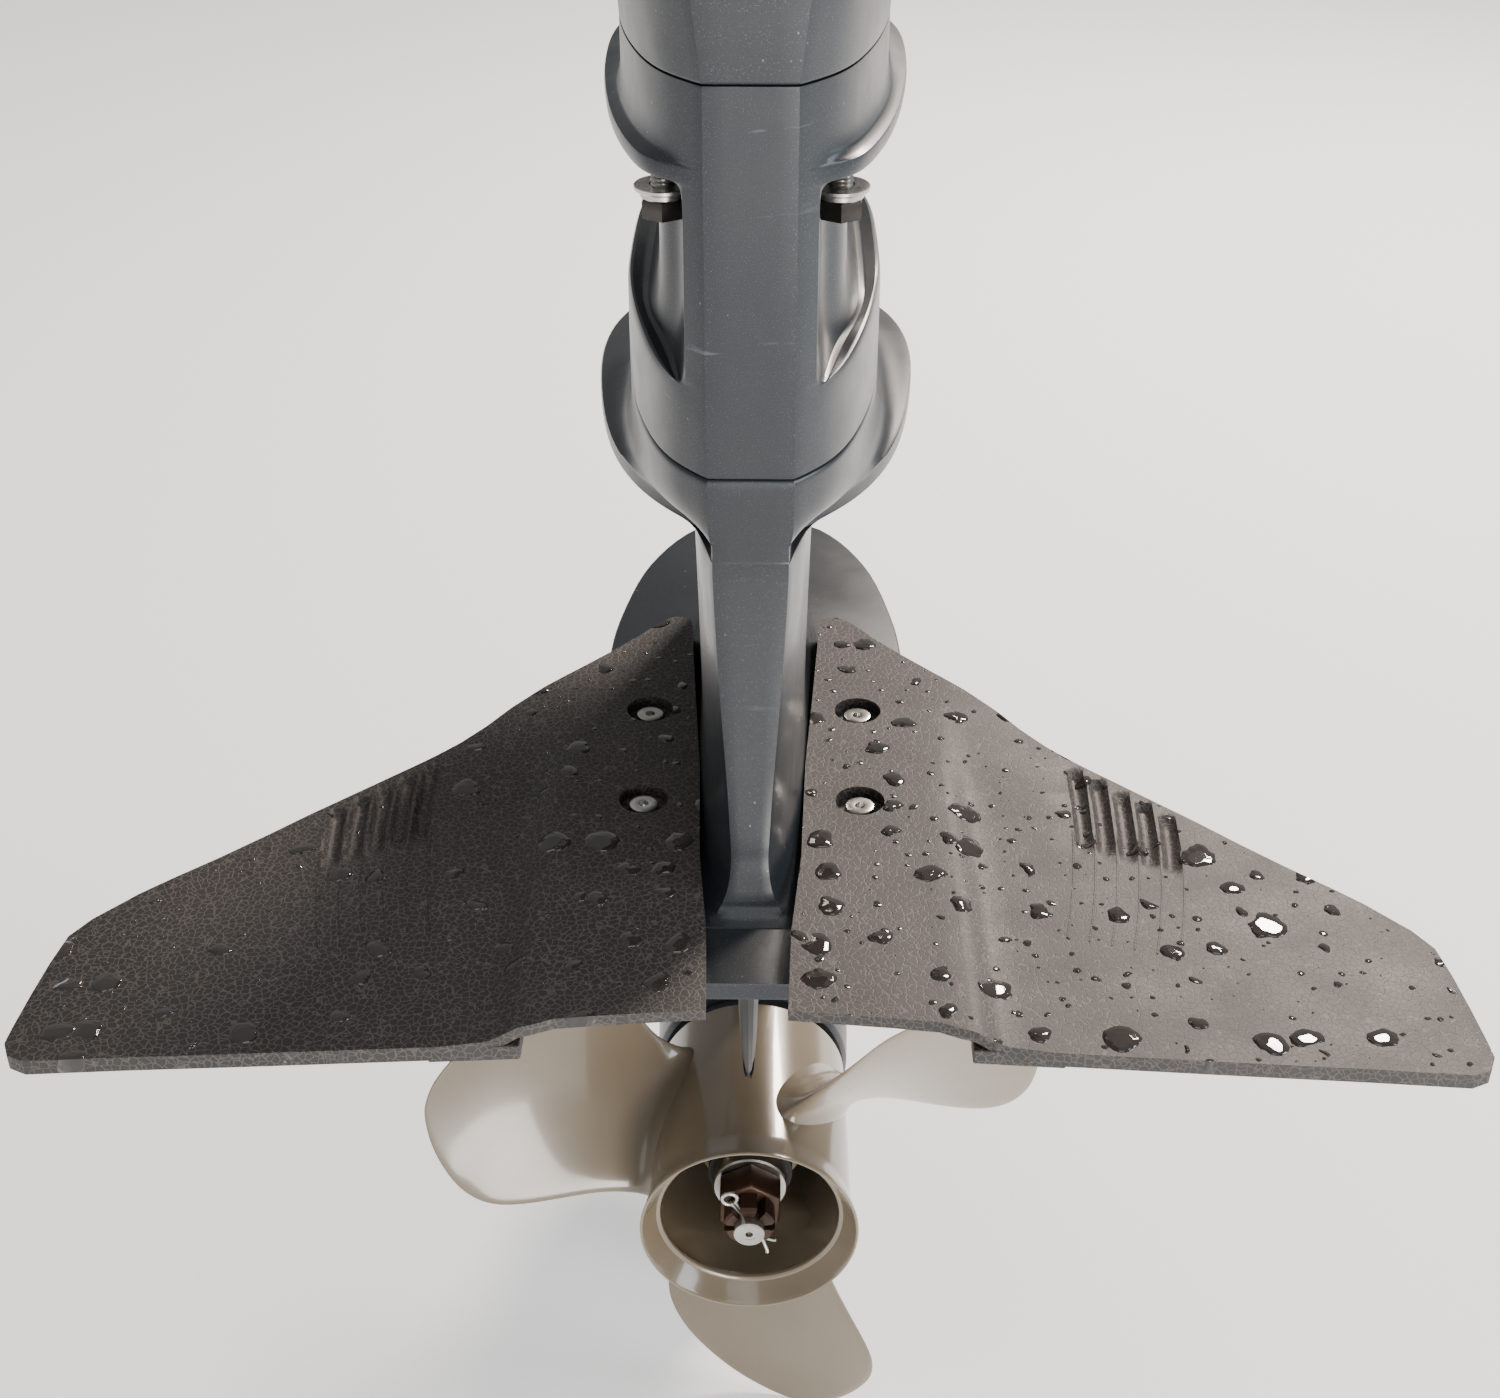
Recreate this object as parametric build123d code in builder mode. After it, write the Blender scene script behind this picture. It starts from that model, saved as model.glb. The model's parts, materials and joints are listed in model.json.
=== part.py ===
"""Outboard motor: clamp brackets, swivel, midsection, lower unit with foils, propeller and powerhead.

Millimetres. +Z is up, +Y is forward (towards the boat), +X is starboard.
The origin is on the transom: the clamp brackets hang on its top edge at z = 0
and bear on its aft face at y = 0.
"""

import math
import os

from build123d import *

os.makedirs("parts", exist_ok=True)

# ---------------------------------------------------------------- driving dimensions
PIVOT_Y = -70.0  # steering axis
SHAFT_Y = -160.0  # drive shaft and crankshaft axis
SPINE_Y = SHAFT_Y - 165.0  # flat rear face of the midsection casings
TILT_Y, TILT_Z = -8.0, 30.0  # tilt axis

PLATE_Z = -508.0  # top of the anti-ventilation plate, 20 in below the transom edge
PLATE_T = 7.0
LOWER_JOINT_Z = PLATE_Z + 159.0  # extension case to lower unit
EXTENSION_H = 127.0  # the 5 in shaft extension
UPPER_JOINT_Z = LOWER_JOINT_Z + EXTENSION_H  # drive shaft housing to extension case
HOUSING_TOP_Z = 46.0
PROP_Z = PLATE_Z - 150.0  # propeller shaft axis
PROP_R = 135.0
SKEG_BOTTOM_Z = PROP_Z - 132.0

CLEAR = 0.3  # radial room round bolts, and room between castings that don't touch
FIT = 0.05  # radial running fit of shafts and pins

STARBOARD, PORT = 1, -1


def ahead(distance):
    """Y of a point that far ahead of the spine's rear face."""
    return SPINE_Y + distance


def keep(builder, name):
    """Labels a finished sub-part and writes it to its own file."""
    builder.part.label = name
    export_step(builder.part, f"parts/{name}.step")


def rod(start, direction, radius, length, mode=Mode.ADD):
    """A cylinder from a start point along a direction, in the part being built."""
    with BuildSketch(Plane(origin=start, z_dir=direction)) as circle:
        Circle(radius)
    extrude(circle.sketch, amount=length, mode=mode)


def hexagon(start, direction, across_flats, length, mode=Mode.ADD):
    """A hexagonal bar, as for bolt heads and nuts."""
    with BuildSketch(Plane(origin=start, z_dir=direction)) as outline:
        RegularPolygon(across_flats / 2, 6, major_radius=False)
    extrude(outline.sketch, amount=length, mode=mode)


def block(low, high, mode=Mode.ADD):
    """A box between two corners."""
    middle = tuple((a + b) / 2 for a, b in zip(low, high))
    with Locations(middle):
        Box(high[0] - low[0], high[1] - low[1], high[2] - low[2], mode=mode)


def side_profile(points, x_low, x_high, corner=0.0, mode=Mode.ADD):
    """A plate with an outline in the YZ plane, between two X values."""
    with BuildSketch(Plane.YZ.offset(x_low)) as outline:
        with BuildLine():
            if corner:
                FilletPolyline(*points, radius=corner, close=True)
            else:
                Polyline(*points, close=True)
        make_face()
    extrude(outline.sketch, amount=x_high - x_low, mode=mode)


def both_sides(pairs):
    """Both sides' places for a list of (x, ahead of the spine)."""
    return [(side * x, ahead(y)) for x, y in pairs for side in (PORT, STARBOARD)]


UP, DOWN, FORWARD, AFT = (0, 0, 1), (0, 0, -1), (0, 1, 0), (0, -1, 0)
RIGHT, LEFT = (1, 0, 0), (-1, 0, 0)


# ---------------------------------------------------------------- shared outlines
def case_face(half=45.0, flat=16.0, rear=0.0, front=210.0, widest=100.0):
    """Midsection outline: flat rear, sides that bulge to full width, rounded front.

    rear, widest and front are distances ahead of the spine's rear face.
    """
    with BuildSketch() as face:
        with BuildLine():
            rear_edge = Line((-flat, ahead(rear)), (flat, ahead(rear)))
            side = Spline(
                rear_edge @ 1,
                (flat + 0.56 * (half - flat), ahead(rear + 0.2 * (widest - rear))),
                (half, ahead(widest)),
                tangents=[(0.86, 0.5), (0, 1)],
            )
            straight = Line(side @ 1, (half, ahead(front - 70.0)))
            nose = Spline(straight @ 1, (0, ahead(front)), tangents=[(0, 1), (-1, 0)])
            mirror(side, about=Plane.YZ)
            mirror(straight, about=Plane.YZ)
            mirror(nose, about=Plane.YZ)
        make_face()
    return face.sketch


def plate_face(points):
    """A flat plate symmetric about x = 0, from its square rear end round to the nose.

    points are (half width, ahead of the spine), rear corner first, nose last.
    """
    with BuildSketch() as face:
        with BuildLine():
            edge = Spline(*[(x, ahead(y)) for x, y in points])
            Line((0, ahead(points[0][1])), edge @ 0)
            mirror(about=Plane.YZ)
        make_face()
    return face.sketch


# ---------------------------------------------------------------- midsection and lower unit sizes
SPLASH_Z = LOWER_JOINT_Z - 25.0
SPLASH_T = 5.0
SPLASH_EDGE = [(15, 8), (36, 43), (52, 86), (61, 134), (62, 175), (53, 218), (27, 243), (0, 248)]
PLATE_EDGE = [(44, -62), (53, 0), (61, 90), (63, 150), (60, 190), (50, 236), (30, 272), (0, 286)]
WING_Z = UPPER_JOINT_Z - 25.0
WING_T = 5.0
WING_EDGE = [(30, 14), (42, 46), (50, 90), (55, 140), (53, 180), (40, 208), (22, 220), (0, 223)]

DRIVE_SHAFT_R = 7.0
DRIVE_BORE_R = 12.0
SHIFT_Y = SHAFT_Y + 27.0
SHIFT_ROD_R = 3.5
SHIFT_BORE_R = 5.0
PUMP_R = 20.0
PUMP_H = 30.0
WATER_TUBE_AT = (-10.0, SHAFT_Y - 13.0)
WATER_TUBE_R = 4.0
EXHAUST_Y = ahead(100)
EXHAUST_L, EXHAUST_W = 56.0, 22.0

M8_R = 4.0
UPPER_BOLTS = [(27.0, 30.0), (36.5, 140.0)]
UPPER_BOLT_SEAT_Z = UPPER_JOINT_Z - 31.0
BOLT_BACKED_OUT = 7.0  # thread that shows between the flange and the washers
LOWER_BOLTS = [(34.0, 75.0), (36.0, 150.0)]
SPINE_HALF = 14.0
WAIST_HALF = 27.0
BELL_H = 26.0

FOIL_BOLTS = [(42.0, 96.0), (41.0, 33.0)]
M6_R = 3.0
FOIL_T = 9.0

TAB_Y = ahead(-30)

HUB_FRONT_Y = ahead(55)
HUB_REAR_Y = ahead(-36)
HUB_R = 40.0
BARREL_REAR_Y = HUB_FRONT_Y + 3.0
BARREL_R = HUB_R + 1.5
NOSE_Y = SHAFT_Y + 92.0
CHAMBER_R = 30.0
CHAMBER_FRONT_Y = SHAFT_Y + 48.0
PINION_ROOM_R, PINION_ROOM_H = 16.0, 44.0

# ---------------------------------------------------------------- lower unit casting
with BuildPart() as lower_unit:
    # neck under the joint and the splash plate
    with BuildSketch(Plane.XY.offset(SPLASH_Z - SPLASH_T)):
        add(case_face(half=44.0))
    extrude(amount=LOWER_JOINT_Z - SPLASH_Z + SPLASH_T)
    with BuildSketch(Plane.XY.offset(SPLASH_Z - SPLASH_T)):
        add(plate_face(SPLASH_EDGE))
    extrude(amount=SPLASH_T)
    # strut from the splash plate down to the anti-ventilation plate
    with BuildSketch(Plane.XY.offset(SPLASH_Z - 1)):
        add(case_face(half=25.0, flat=12.0, rear=1.0, front=212.0))
    with BuildSketch(Plane.XY.offset(PLATE_Z - PLATE_T / 2)):
        add(case_face(half=21.0, flat=8.0, rear=-12.0, front=222.0, widest=110.0))
    loft()
    # anti-ventilation plate
    with BuildSketch(Plane.XY.offset(PLATE_Z - PLATE_T)):
        add(plate_face(PLATE_EDGE))
    extrude(amount=PLATE_T)
    # strut below the plate, down into the gear barrel
    with BuildSketch(Plane.XY.offset(PLATE_Z - 1)):
        add(case_face(half=20.0, flat=4.0, rear=60.0, front=224.0, widest=120.0))
    with BuildSketch(Plane.XY.offset(PROP_Z + 20)):
        add(case_face(half=22.0, flat=4.0, rear=60.0, front=226.0, widest=120.0))
    loft()
    # gear barrel with its bullet nose
    with BuildSketch(Plane.XY.offset(PROP_Z)):
        with BuildLine():
            Line((0, BARREL_REAR_Y), (HUB_R + 0.5, BARREL_REAR_Y))
            Line((HUB_R + 0.5, BARREL_REAR_Y), (BARREL_R, SHAFT_Y + 5))
            Spline((BARREL_R, SHAFT_Y + 5), (30, SHAFT_Y + 62), (0, NOSE_Y), tangents=[(0, 1), (-1, 0)])
            Line((0, NOSE_Y), (0, BARREL_REAR_Y))
        make_face()
    revolve(axis=Axis((0, 0, PROP_Z), (0, 1, 0)))
    # skeg
    with BuildSketch(Plane.YZ):
        with BuildLine():
            Polyline(
                (ahead(205), PROP_Z - 25),
                (ahead(112), SKEG_BOTTOM_Z + 4),
                (ahead(52), SKEG_BOTTOM_Z),
                (ahead(88), PROP_Z - 25),
                close=True,
            )
        skeg_face = make_face()
        fillet(skeg_face.vertices().group_by(Axis.Y)[0], 12)
    extrude(amount=3.5, both=True)
    # gear chamber, open at the rear, with room for the pinion above it
    chamber_l = CHAMBER_FRONT_Y - BARREL_REAR_Y
    rod((0, BARREL_REAR_Y, PROP_Z), FORWARD, CHAMBER_R, chamber_l, Mode.SUBTRACT)
    rod((0, SHAFT_Y, PROP_Z), UP, PINION_ROOM_R, PINION_ROOM_H, Mode.SUBTRACT)
    # drive shaft and shift rod bores
    rod((0, SHAFT_Y, PROP_Z), UP, DRIVE_BORE_R, LOWER_JOINT_Z - PROP_Z + 1, Mode.SUBTRACT)
    rod((0, SHIFT_Y, PROP_Z), UP, SHIFT_BORE_R, LOWER_JOINT_Z - PROP_Z + 1, Mode.SUBTRACT)
    # exhaust passage down the strut, which leaves round the bearing carrier
    with BuildSketch(Plane.XY.offset(LOWER_JOINT_Z)):
        with Locations((0, ahead(92))):
            SlotOverall(50, 24, rotation=90)
    extrude(amount=PROP_Z - LOWER_JOINT_Z, mode=Mode.SUBTRACT)
    # holes for the foils' bolts and for the bolts up into the extension
    with BuildSketch(Plane.XY.offset(PLATE_Z)):
        with Locations(*both_sides(FOIL_BOLTS)):
            Circle(M6_R + CLEAR)
    extrude(amount=-PLATE_T * 2, mode=Mode.SUBTRACT)
    with BuildSketch(Plane.XY.offset(LOWER_JOINT_Z)):
        with Locations(*both_sides(LOWER_BOLTS)):
            Circle(M8_R + CLEAR)
    extrude(amount=-60, mode=Mode.SUBTRACT)
    # water inlet windows through both sides of the strut
    block((-60, SHAFT_Y - 4, PLATE_Z - 68), (60, SHAFT_Y + 28, PLATE_Z - 44), Mode.SUBTRACT)
    # trim tab's bolt hole
    rod((0, TAB_Y, PLATE_Z - 1.7), DOWN, M6_R + CLEAR, 40, Mode.SUBTRACT)
keep(lower_unit, "lower_unit_case")

with BuildPart() as intake_screens:
    for side in (PORT, STARBOARD):
        x = side * 16.5
        block((x - 1.5, SHAFT_Y - 3.9, PLATE_Z - 67.9), (x + 1.5, SHAFT_Y + 27.9, PLATE_Z - 44.1))
    for row in range(4):
        z = PLATE_Z - 65.0 + row * 5.5
        block((-30, SHAFT_Y, z), (30, SHAFT_Y + 24, z + 2.5), Mode.SUBTRACT)
keep(intake_screens, "water_intake_screens")

# ---------------------------------------------------------------- trim tab under the plate's tail
TAB_R = 8.0
TAB_TOP_Z = PLATE_Z - PLATE_T - CLEAR
TAB_FLANGE = 5.0
TAB_HALF = 2.5
TAB_REAR_Y = TAB_Y - 30.0
TAB_TIP_Y = TAB_Y - 21.0
TAB_TIP_Z = PLATE_Z - 54.0
with BuildPart() as trim_tab:
    rod((0, TAB_Y, TAB_TOP_Z), DOWN, TAB_R, TAB_FLANGE)
    side_profile(
        [
            (TAB_Y - 5, TAB_TOP_Z),
            (TAB_REAR_Y, TAB_TOP_Z),
            (TAB_REAR_Y, PLATE_Z - 28),
            (TAB_TIP_Y, TAB_TIP_Z),
            (TAB_TIP_Y + 5, TAB_TIP_Z + 4),
            (TAB_Y - 9, TAB_TOP_Z - TAB_FLANGE),
            (TAB_Y - 5, TAB_TOP_Z - TAB_FLANGE),
        ],
        -TAB_HALF,
        TAB_HALF,
    )
    rod((0, TAB_Y, PLATE_Z - PLATE_T), DOWN, M6_R + FIT, 12, Mode.SUBTRACT)
keep(trim_tab, "trim_tab")

with BuildPart() as trim_tab_bolt:
    rod((0, TAB_Y, PLATE_Z - 2), DOWN, M6_R, TAB_FLANGE + PLATE_T - 1.4)
    hexagon((0, TAB_Y, TAB_TOP_Z - TAB_FLANGE - CLEAR), DOWN, 10, 4)
keep(trim_tab_bolt, "trim_tab_bolt")

# ---------------------------------------------------------------- hydrofoils on the plate
FOIL_BEND_X = 80.0
FOIL_INNER = [(27, 165), (25, 40), (18, -10), (14, -87)]
FOIL_FRONT = [(35, 170), (50, 154), (74, 127), (99, 98), (127, 66), (167, 28)]
FOIL_TIP = [(232, -34), (240, -46), (242, -98), (234, -108)]
FOIL_REAR = [(86, -98), (71, -94)]
FOIL_DROP = 4.5


def make_foil(side):
    """One foil: an inner pad that lies on the plate and a thinner outer wing that steps down."""
    outline = FOIL_INNER[::-1] + FOIL_FRONT + FOIL_TIP + FOIL_REAR
    with BuildPart() as foil:
        with BuildSketch(Plane.XY.offset(PLATE_Z - FOIL_DROP)):
            with BuildLine():
                Polyline(*[(side * x, ahead(y)) for x, y in outline], close=True)
            make_face()
        extrude(amount=FOIL_DROP + FOIL_T)
        # room for the plate under the inner pad, and the wing's lower top face
        inner, outer = sorted((side * 0.0, side * FOIL_BEND_X))
        block((inner, ahead(-130), PLATE_Z - 20), (outer, ahead(200), PLATE_Z), Mode.SUBTRACT)
        wing_top = [
            (side * FOIL_BEND_X, PLATE_Z + FOIL_T),
            (side * 260, PLATE_Z - FOIL_DROP + 6),
            (side * 260, PLATE_Z + 20),
            (side * FOIL_BEND_X, PLATE_Z + 20),
        ]
        with BuildSketch(Plane(origin=(0, ahead(-130), 0), x_dir=(1, 0, 0), z_dir=(0, 1, 0))) as top_cut:
            with BuildLine():
                Polyline(*[(x, -z) for x, z in wing_top], close=True)
            make_face()
        extrude(top_cut.sketch, amount=400, mode=Mode.SUBTRACT)
        wing_under = [
            (side * FOIL_BEND_X, PLATE_Z - 0.5),
            (side * 260, PLATE_Z - FOIL_DROP - 0.5),
            (side * 260, PLATE_Z - 20),
            (side * FOIL_BEND_X, PLATE_Z - 20),
        ]
        with BuildSketch(Plane(origin=(0, ahead(-130), 0), x_dir=(1, 0, 0), z_dir=(0, 1, 0))) as under_cut:
            with BuildLine():
                Polyline(*[(x, -z) for x, z in wing_under], close=True)
            make_face()
        extrude(under_cut.sketch, amount=400, mode=Mode.SUBTRACT)
        for x, y in FOIL_BOLTS:
            rod((side * x, ahead(y), PLATE_Z - 1), UP, M6_R + CLEAR, 20, Mode.SUBTRACT)
            rod((side * x, ahead(y), PLATE_Z + 4), UP, 10.5, 20, Mode.SUBTRACT)
    return foil


foil_starboard = make_foil(STARBOARD)
keep(foil_starboard, "foil_starboard")
foil_port = make_foil(PORT)
keep(foil_port, "foil_port")

with BuildPart() as foil_bolts:
    for x, y in both_sides(FOIL_BOLTS):
        rod((x, y, PLATE_Z + 4), DOWN, M6_R, 24)
        rod((x, y, PLATE_Z + 4), UP, 6.2, 3.2)
keep(foil_bolts, "foil_bolts")

with BuildPart() as foil_nuts:
    for x, y in both_sides(FOIL_BOLTS):
        hexagon((x, y, PLATE_Z - PLATE_T), DOWN, 10, 6)
        rod((x, y, PLATE_Z), DOWN, M6_R, 30, Mode.SUBTRACT)
keep(foil_nuts, "foil_nuts")

# ---------------------------------------------------------------- shaft extension case
with BuildPart() as extension:
    # waist column and the rear spine that runs the full height
    with BuildSketch(Plane.XY.offset(LOWER_JOINT_Z)):
        add(case_face(half=WAIST_HALF, flat=13.0, rear=42.0, front=207.0))
    extrude(amount=EXTENSION_H)
    with BuildSketch(Plane.XY.offset(LOWER_JOINT_Z)):
        with BuildLine():
            Polyline(
                (0, ahead(0)),
                (SPINE_HALF, ahead(0)),
                (SPINE_HALF + 6, ahead(7)),
                (SPINE_HALF + 3, ahead(14)),
                (SPINE_HALF + 3, ahead(60)),
                (0, ahead(60)),
            )
            mirror(about=Plane.YZ)
        make_face()
    extrude(amount=EXTENSION_H)
    # upper flange and its oval splash wing
    with BuildSketch(Plane.XY.offset(UPPER_BOLT_SEAT_Z)):
        add(case_face())
    extrude(amount=UPPER_JOINT_Z - UPPER_BOLT_SEAT_Z)
    with BuildSketch(Plane.XY.offset(WING_Z - WING_T)):
        add(plate_face(WING_EDGE))
    extrude(amount=WING_T)
    # lower bell, lofted out from the waist
    with BuildSketch(Plane.XY.offset(LOWER_JOINT_Z)):
        add(case_face(half=44.0))
    extrude(amount=BELL_H)
    with BuildSketch(Plane.XY.offset(LOWER_JOINT_Z + BELL_H)):
        add(case_face(half=42.0, rear=26.0, front=206.0))
    with BuildSketch(Plane.XY.offset(LOWER_JOINT_Z + 2 * BELL_H)):
        add(case_face(half=WAIST_HALF - 2, flat=12.0, rear=48.0, front=200.0))
    loft(ruled=True)
    # hollow for the shafts, the tubes and the exhaust
    with BuildSketch(Plane.XY.offset(LOWER_JOINT_Z)):
        add(case_face(half=22.0, flat=8.0, rear=50.0, front=204.0, widest=95.0))
    extrude(amount=EXTENSION_H, mode=Mode.SUBTRACT)
    # bolt holes: through the upper flange, blind up from the lower joint
    with BuildSketch(Plane.XY.offset(UPPER_JOINT_Z)):
        with Locations(*both_sides(UPPER_BOLTS)):
            Circle(M8_R + CLEAR)
    extrude(amount=UPPER_BOLT_SEAT_Z - UPPER_JOINT_Z, mode=Mode.SUBTRACT)
    with BuildSketch(Plane.XY.offset(LOWER_JOINT_Z)):
        with Locations(*both_sides(LOWER_BOLTS)):
            Circle(M8_R + CLEAR)
    extrude(amount=20, mode=Mode.SUBTRACT)
keep(extension, "extension_case")

WASHER_R, WASHER_T = 8.4, 2.0
with BuildPart() as extension_washers:
    for x, y in both_sides(UPPER_BOLTS):
        seat = UPPER_BOLT_SEAT_Z - BOLT_BACKED_OUT
        rod((x, y, seat), DOWN, WASHER_R, WASHER_T)
        rod((x, y, seat), DOWN, M8_R, WASHER_T, Mode.SUBTRACT)
keep(extension_washers, "extension_washers")

with BuildPart() as case_bolts:
    for x, y in both_sides(UPPER_BOLTS):
        seat = UPPER_BOLT_SEAT_Z - BOLT_BACKED_OUT - WASHER_T
        rod((x, y, seat), UP, M8_R, UPPER_JOINT_Z + 22 - seat)
        hexagon((x, y, seat), DOWN, 13, 8)
    for x, y in both_sides(LOWER_BOLTS):
        seat = SPLASH_Z - SPLASH_T
        rod((x, y, seat), UP, M8_R, LOWER_JOINT_Z + 18 - seat)
        hexagon((x, y, seat), DOWN, 13, 8)
keep(case_bolts, "case_bolts")

# ---------------------------------------------------------------- drive shaft housing
MOUNT_FACE_Y = PIVOT_Y - 34.0
UPPER_MOUNT_Z = 33.0
LOWER_MOUNT_Z = -172.0
UPPER_MOUNT_X, LOWER_MOUNT_X = 24.0, 20.0
FLANGE_T = 12.0
with BuildPart() as housing:
    with BuildSketch(Plane.XY.offset(UPPER_JOINT_Z)):
        add(case_face())
    with BuildSketch(Plane.XY.offset(HOUSING_TOP_Z)):
        add(case_face(half=62.0, flat=33.0, rear=-10.0, front=212.0))
    loft()
    with BuildSketch(Plane.XY.offset(HOUSING_TOP_Z - FLANGE_T)):
        add(case_face(half=72.0, flat=38.0, rear=-16.0, front=214.0))
    extrude(amount=FLANGE_T)
    # flat pads for the rubber mounts
    block((-38, ahead(180), UPPER_MOUNT_Z - 16), (38, MOUNT_FACE_Y, HOUSING_TOP_Z))
    block((-33, ahead(180), LOWER_MOUNT_Z - 15), (33, MOUNT_FACE_Y, LOWER_MOUNT_Z + 15))
    # hollow
    with BuildSketch(Plane.XY.offset(UPPER_JOINT_Z)):
        add(case_face(half=22.0, flat=8.0, rear=50.0, front=204.0, widest=95.0))
    with BuildSketch(Plane.XY.offset(HOUSING_TOP_Z)):
        add(case_face(half=50.0, flat=20.0, rear=16.0, front=204.0, widest=95.0))
    loft(mode=Mode.SUBTRACT)
    with BuildSketch(Plane.XY.offset(UPPER_JOINT_Z)):
        with Locations(*both_sides(UPPER_BOLTS)):
            Circle(M8_R + CLEAR)
    extrude(amount=24, mode=Mode.SUBTRACT)
keep(housing, "drive_shaft_housing")

with BuildPart() as rubber_mounts:
    for side in (PORT, STARBOARD):
        rod((side * UPPER_MOUNT_X, MOUNT_FACE_Y, UPPER_MOUNT_Z), FORWARD, 12, 6)
        rod((side * LOWER_MOUNT_X, MOUNT_FACE_Y, LOWER_MOUNT_Z), FORWARD, 12, 6)
keep(rubber_mounts, "rubber_mounts")

with BuildPart() as exhaust_tube:
    with BuildSketch(Plane.XY.offset(LOWER_JOINT_Z)):
        with Locations((0, EXHAUST_Y)):
            SlotOverall(EXHAUST_L, EXHAUST_W, rotation=90)
            SlotOverall(EXHAUST_L - 4, EXHAUST_W - 4, rotation=90, mode=Mode.SUBTRACT)
    extrude(amount=HOUSING_TOP_Z - LOWER_JOINT_Z)
keep(exhaust_tube, "exhaust_tube")

with BuildPart() as water_tube:
    rod((*WATER_TUBE_AT, LOWER_JOINT_Z + PUMP_H), UP, WATER_TUBE_R, HOUSING_TOP_Z - LOWER_JOINT_Z - PUMP_H)
    rod((*WATER_TUBE_AT, LOWER_JOINT_Z), UP, WATER_TUBE_R - 1, 500, Mode.SUBTRACT)
keep(water_tube, "water_tube")

# ---------------------------------------------------------------- water pump
IMPELLER_R = 15.0
with BuildPart() as pump_housing:
    rod((0, SHAFT_Y, LOWER_JOINT_Z), UP, PUMP_R, PUMP_H)
    rod((0, SHAFT_Y, LOWER_JOINT_Z - 1), UP, IMPELLER_R + 0.5, 20, Mode.SUBTRACT)
    rod((0, SHAFT_Y, LOWER_JOINT_Z), UP, DRIVE_SHAFT_R + FIT, PUMP_H + 1, Mode.SUBTRACT)
keep(pump_housing, "pump_housing")

with BuildPart() as pump_impeller:
    rod((0, SHAFT_Y, LOWER_JOINT_Z + 2), UP, 10, 14)
    with BuildSketch(Plane.XY.offset(LOWER_JOINT_Z + 2)):
        with Locations((0, SHAFT_Y)):
            with PolarLocations(IMPELLER_R - 4, 6):
                Rectangle(8, 2.5)
    extrude(amount=14)
    rod((0, SHAFT_Y, LOWER_JOINT_Z), UP, DRIVE_SHAFT_R, 40, Mode.SUBTRACT)
keep(pump_impeller, "pump_impeller")

# ---------------------------------------------------------------- bevel gears and dog clutch
GEAR_TEETH, PINION_TEETH = 27, 13
GEAR_R = 27.0
PINION_R = GEAR_R * PINION_TEETH / GEAR_TEETH
FACE_SHARE = 0.62  # small end of the teeth as a share of the large end
MESH_GAP = 0.25  # each gear stands this much off the shared pitch cone
PROP_SHAFT_R = 9.0
GEAR_HUB_R = 14.0
GEAR_BACK = 22.0
CHAMBER_BEARING = (26.0, 38.0)


def bevel_profile(radius, distance, back, hub_radius, hub_end, bore):
    """Half section of a bevel gear: radial distance by distance from the cone's apex."""
    return [
        (bore, distance * FACE_SHARE + MESH_GAP),
        (radius * FACE_SHARE, distance * FACE_SHARE + MESH_GAP),
        (radius, distance + MESH_GAP),
        (radius, back),
        (hub_radius, back),
        (hub_radius, hub_end),
        (bore, hub_end),
    ]


def make_gear(direction, teeth, profile, groove_radius, groove_at, plane):
    """Revolves a bevel gear about its plane's y axis and cuts shallow tooth spaces."""
    with BuildPart() as gear:
        with BuildSketch(plane):
            with BuildLine():
                Polyline(*[(r, direction * d) for r, d in profile], close=True)
            make_face()
        revolve(axis=Axis(plane.origin, plane.y_dir))
        groove_start = plane.origin + plane.y_dir * (direction * groove_at)
        spaces = Plane(origin=groove_start, z_dir=plane.y_dir * direction)
        with BuildSketch(spaces):
            with PolarLocations(groove_radius, teeth):
                Rectangle(9, 2.2)
        extrude(amount=GEAR_BACK, mode=Mode.SUBTRACT)
    return gear


gear_plane = Plane(origin=(0, SHAFT_Y, PROP_Z), x_dir=(1, 0, 0), z_dir=(0, 0, 1))
gear_profile = bevel_profile(GEAR_R, PINION_R, GEAR_BACK, GEAR_HUB_R, CHAMBER_BEARING[1], PROP_SHAFT_R + FIT)
reverse_profile = bevel_profile(GEAR_R, PINION_R, GEAR_BACK, GEAR_HUB_R, 30.0, PROP_SHAFT_R + FIT)
forward_gear = make_gear(1, GEAR_TEETH, gear_profile, GEAR_R + 2, PINION_R - 1, gear_plane)
keep(forward_gear, "forward_gear")
reverse_gear = make_gear(-1, GEAR_TEETH, reverse_profile, GEAR_R + 2, PINION_R - 1, gear_plane)
keep(reverse_gear, "reverse_gear")
pinion_plane = Plane(origin=(0, SHAFT_Y, PROP_Z), x_dir=(1, 0, 0), z_dir=(0, -1, 0))
pinion_profile = bevel_profile(PINION_R, GEAR_R, 36.0, 10.0, 42.0, DRIVE_SHAFT_R)
pinion_gear = make_gear(1, PINION_TEETH, pinion_profile, PINION_R + 2.5, GEAR_R - 1, pinion_plane)
keep(pinion_gear, "pinion_gear")

DOG_HALF, DOG_R = 4.6, 15.0
with BuildPart() as clutch_dog:
    rod((0, SHAFT_Y - DOG_HALF, PROP_Z), FORWARD, DOG_R, 2 * DOG_HALF)
    rod((0, SHAFT_Y - DOG_HALF, PROP_Z), FORWARD, PROP_SHAFT_R + FIT, 2 * DOG_HALF, Mode.SUBTRACT)
    for face_y in (SHAFT_Y - DOG_HALF, SHAFT_Y + DOG_HALF):
        with BuildSketch(Plane(origin=(0, face_y, PROP_Z), x_dir=(1, 0, 0), z_dir=(0, 1, 0))):
            with PolarLocations(DOG_R, 3):
                Rectangle(9, 7)
        extrude(amount=2.5, both=True, mode=Mode.SUBTRACT)
keep(clutch_dog, "clutch_dog")

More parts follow.
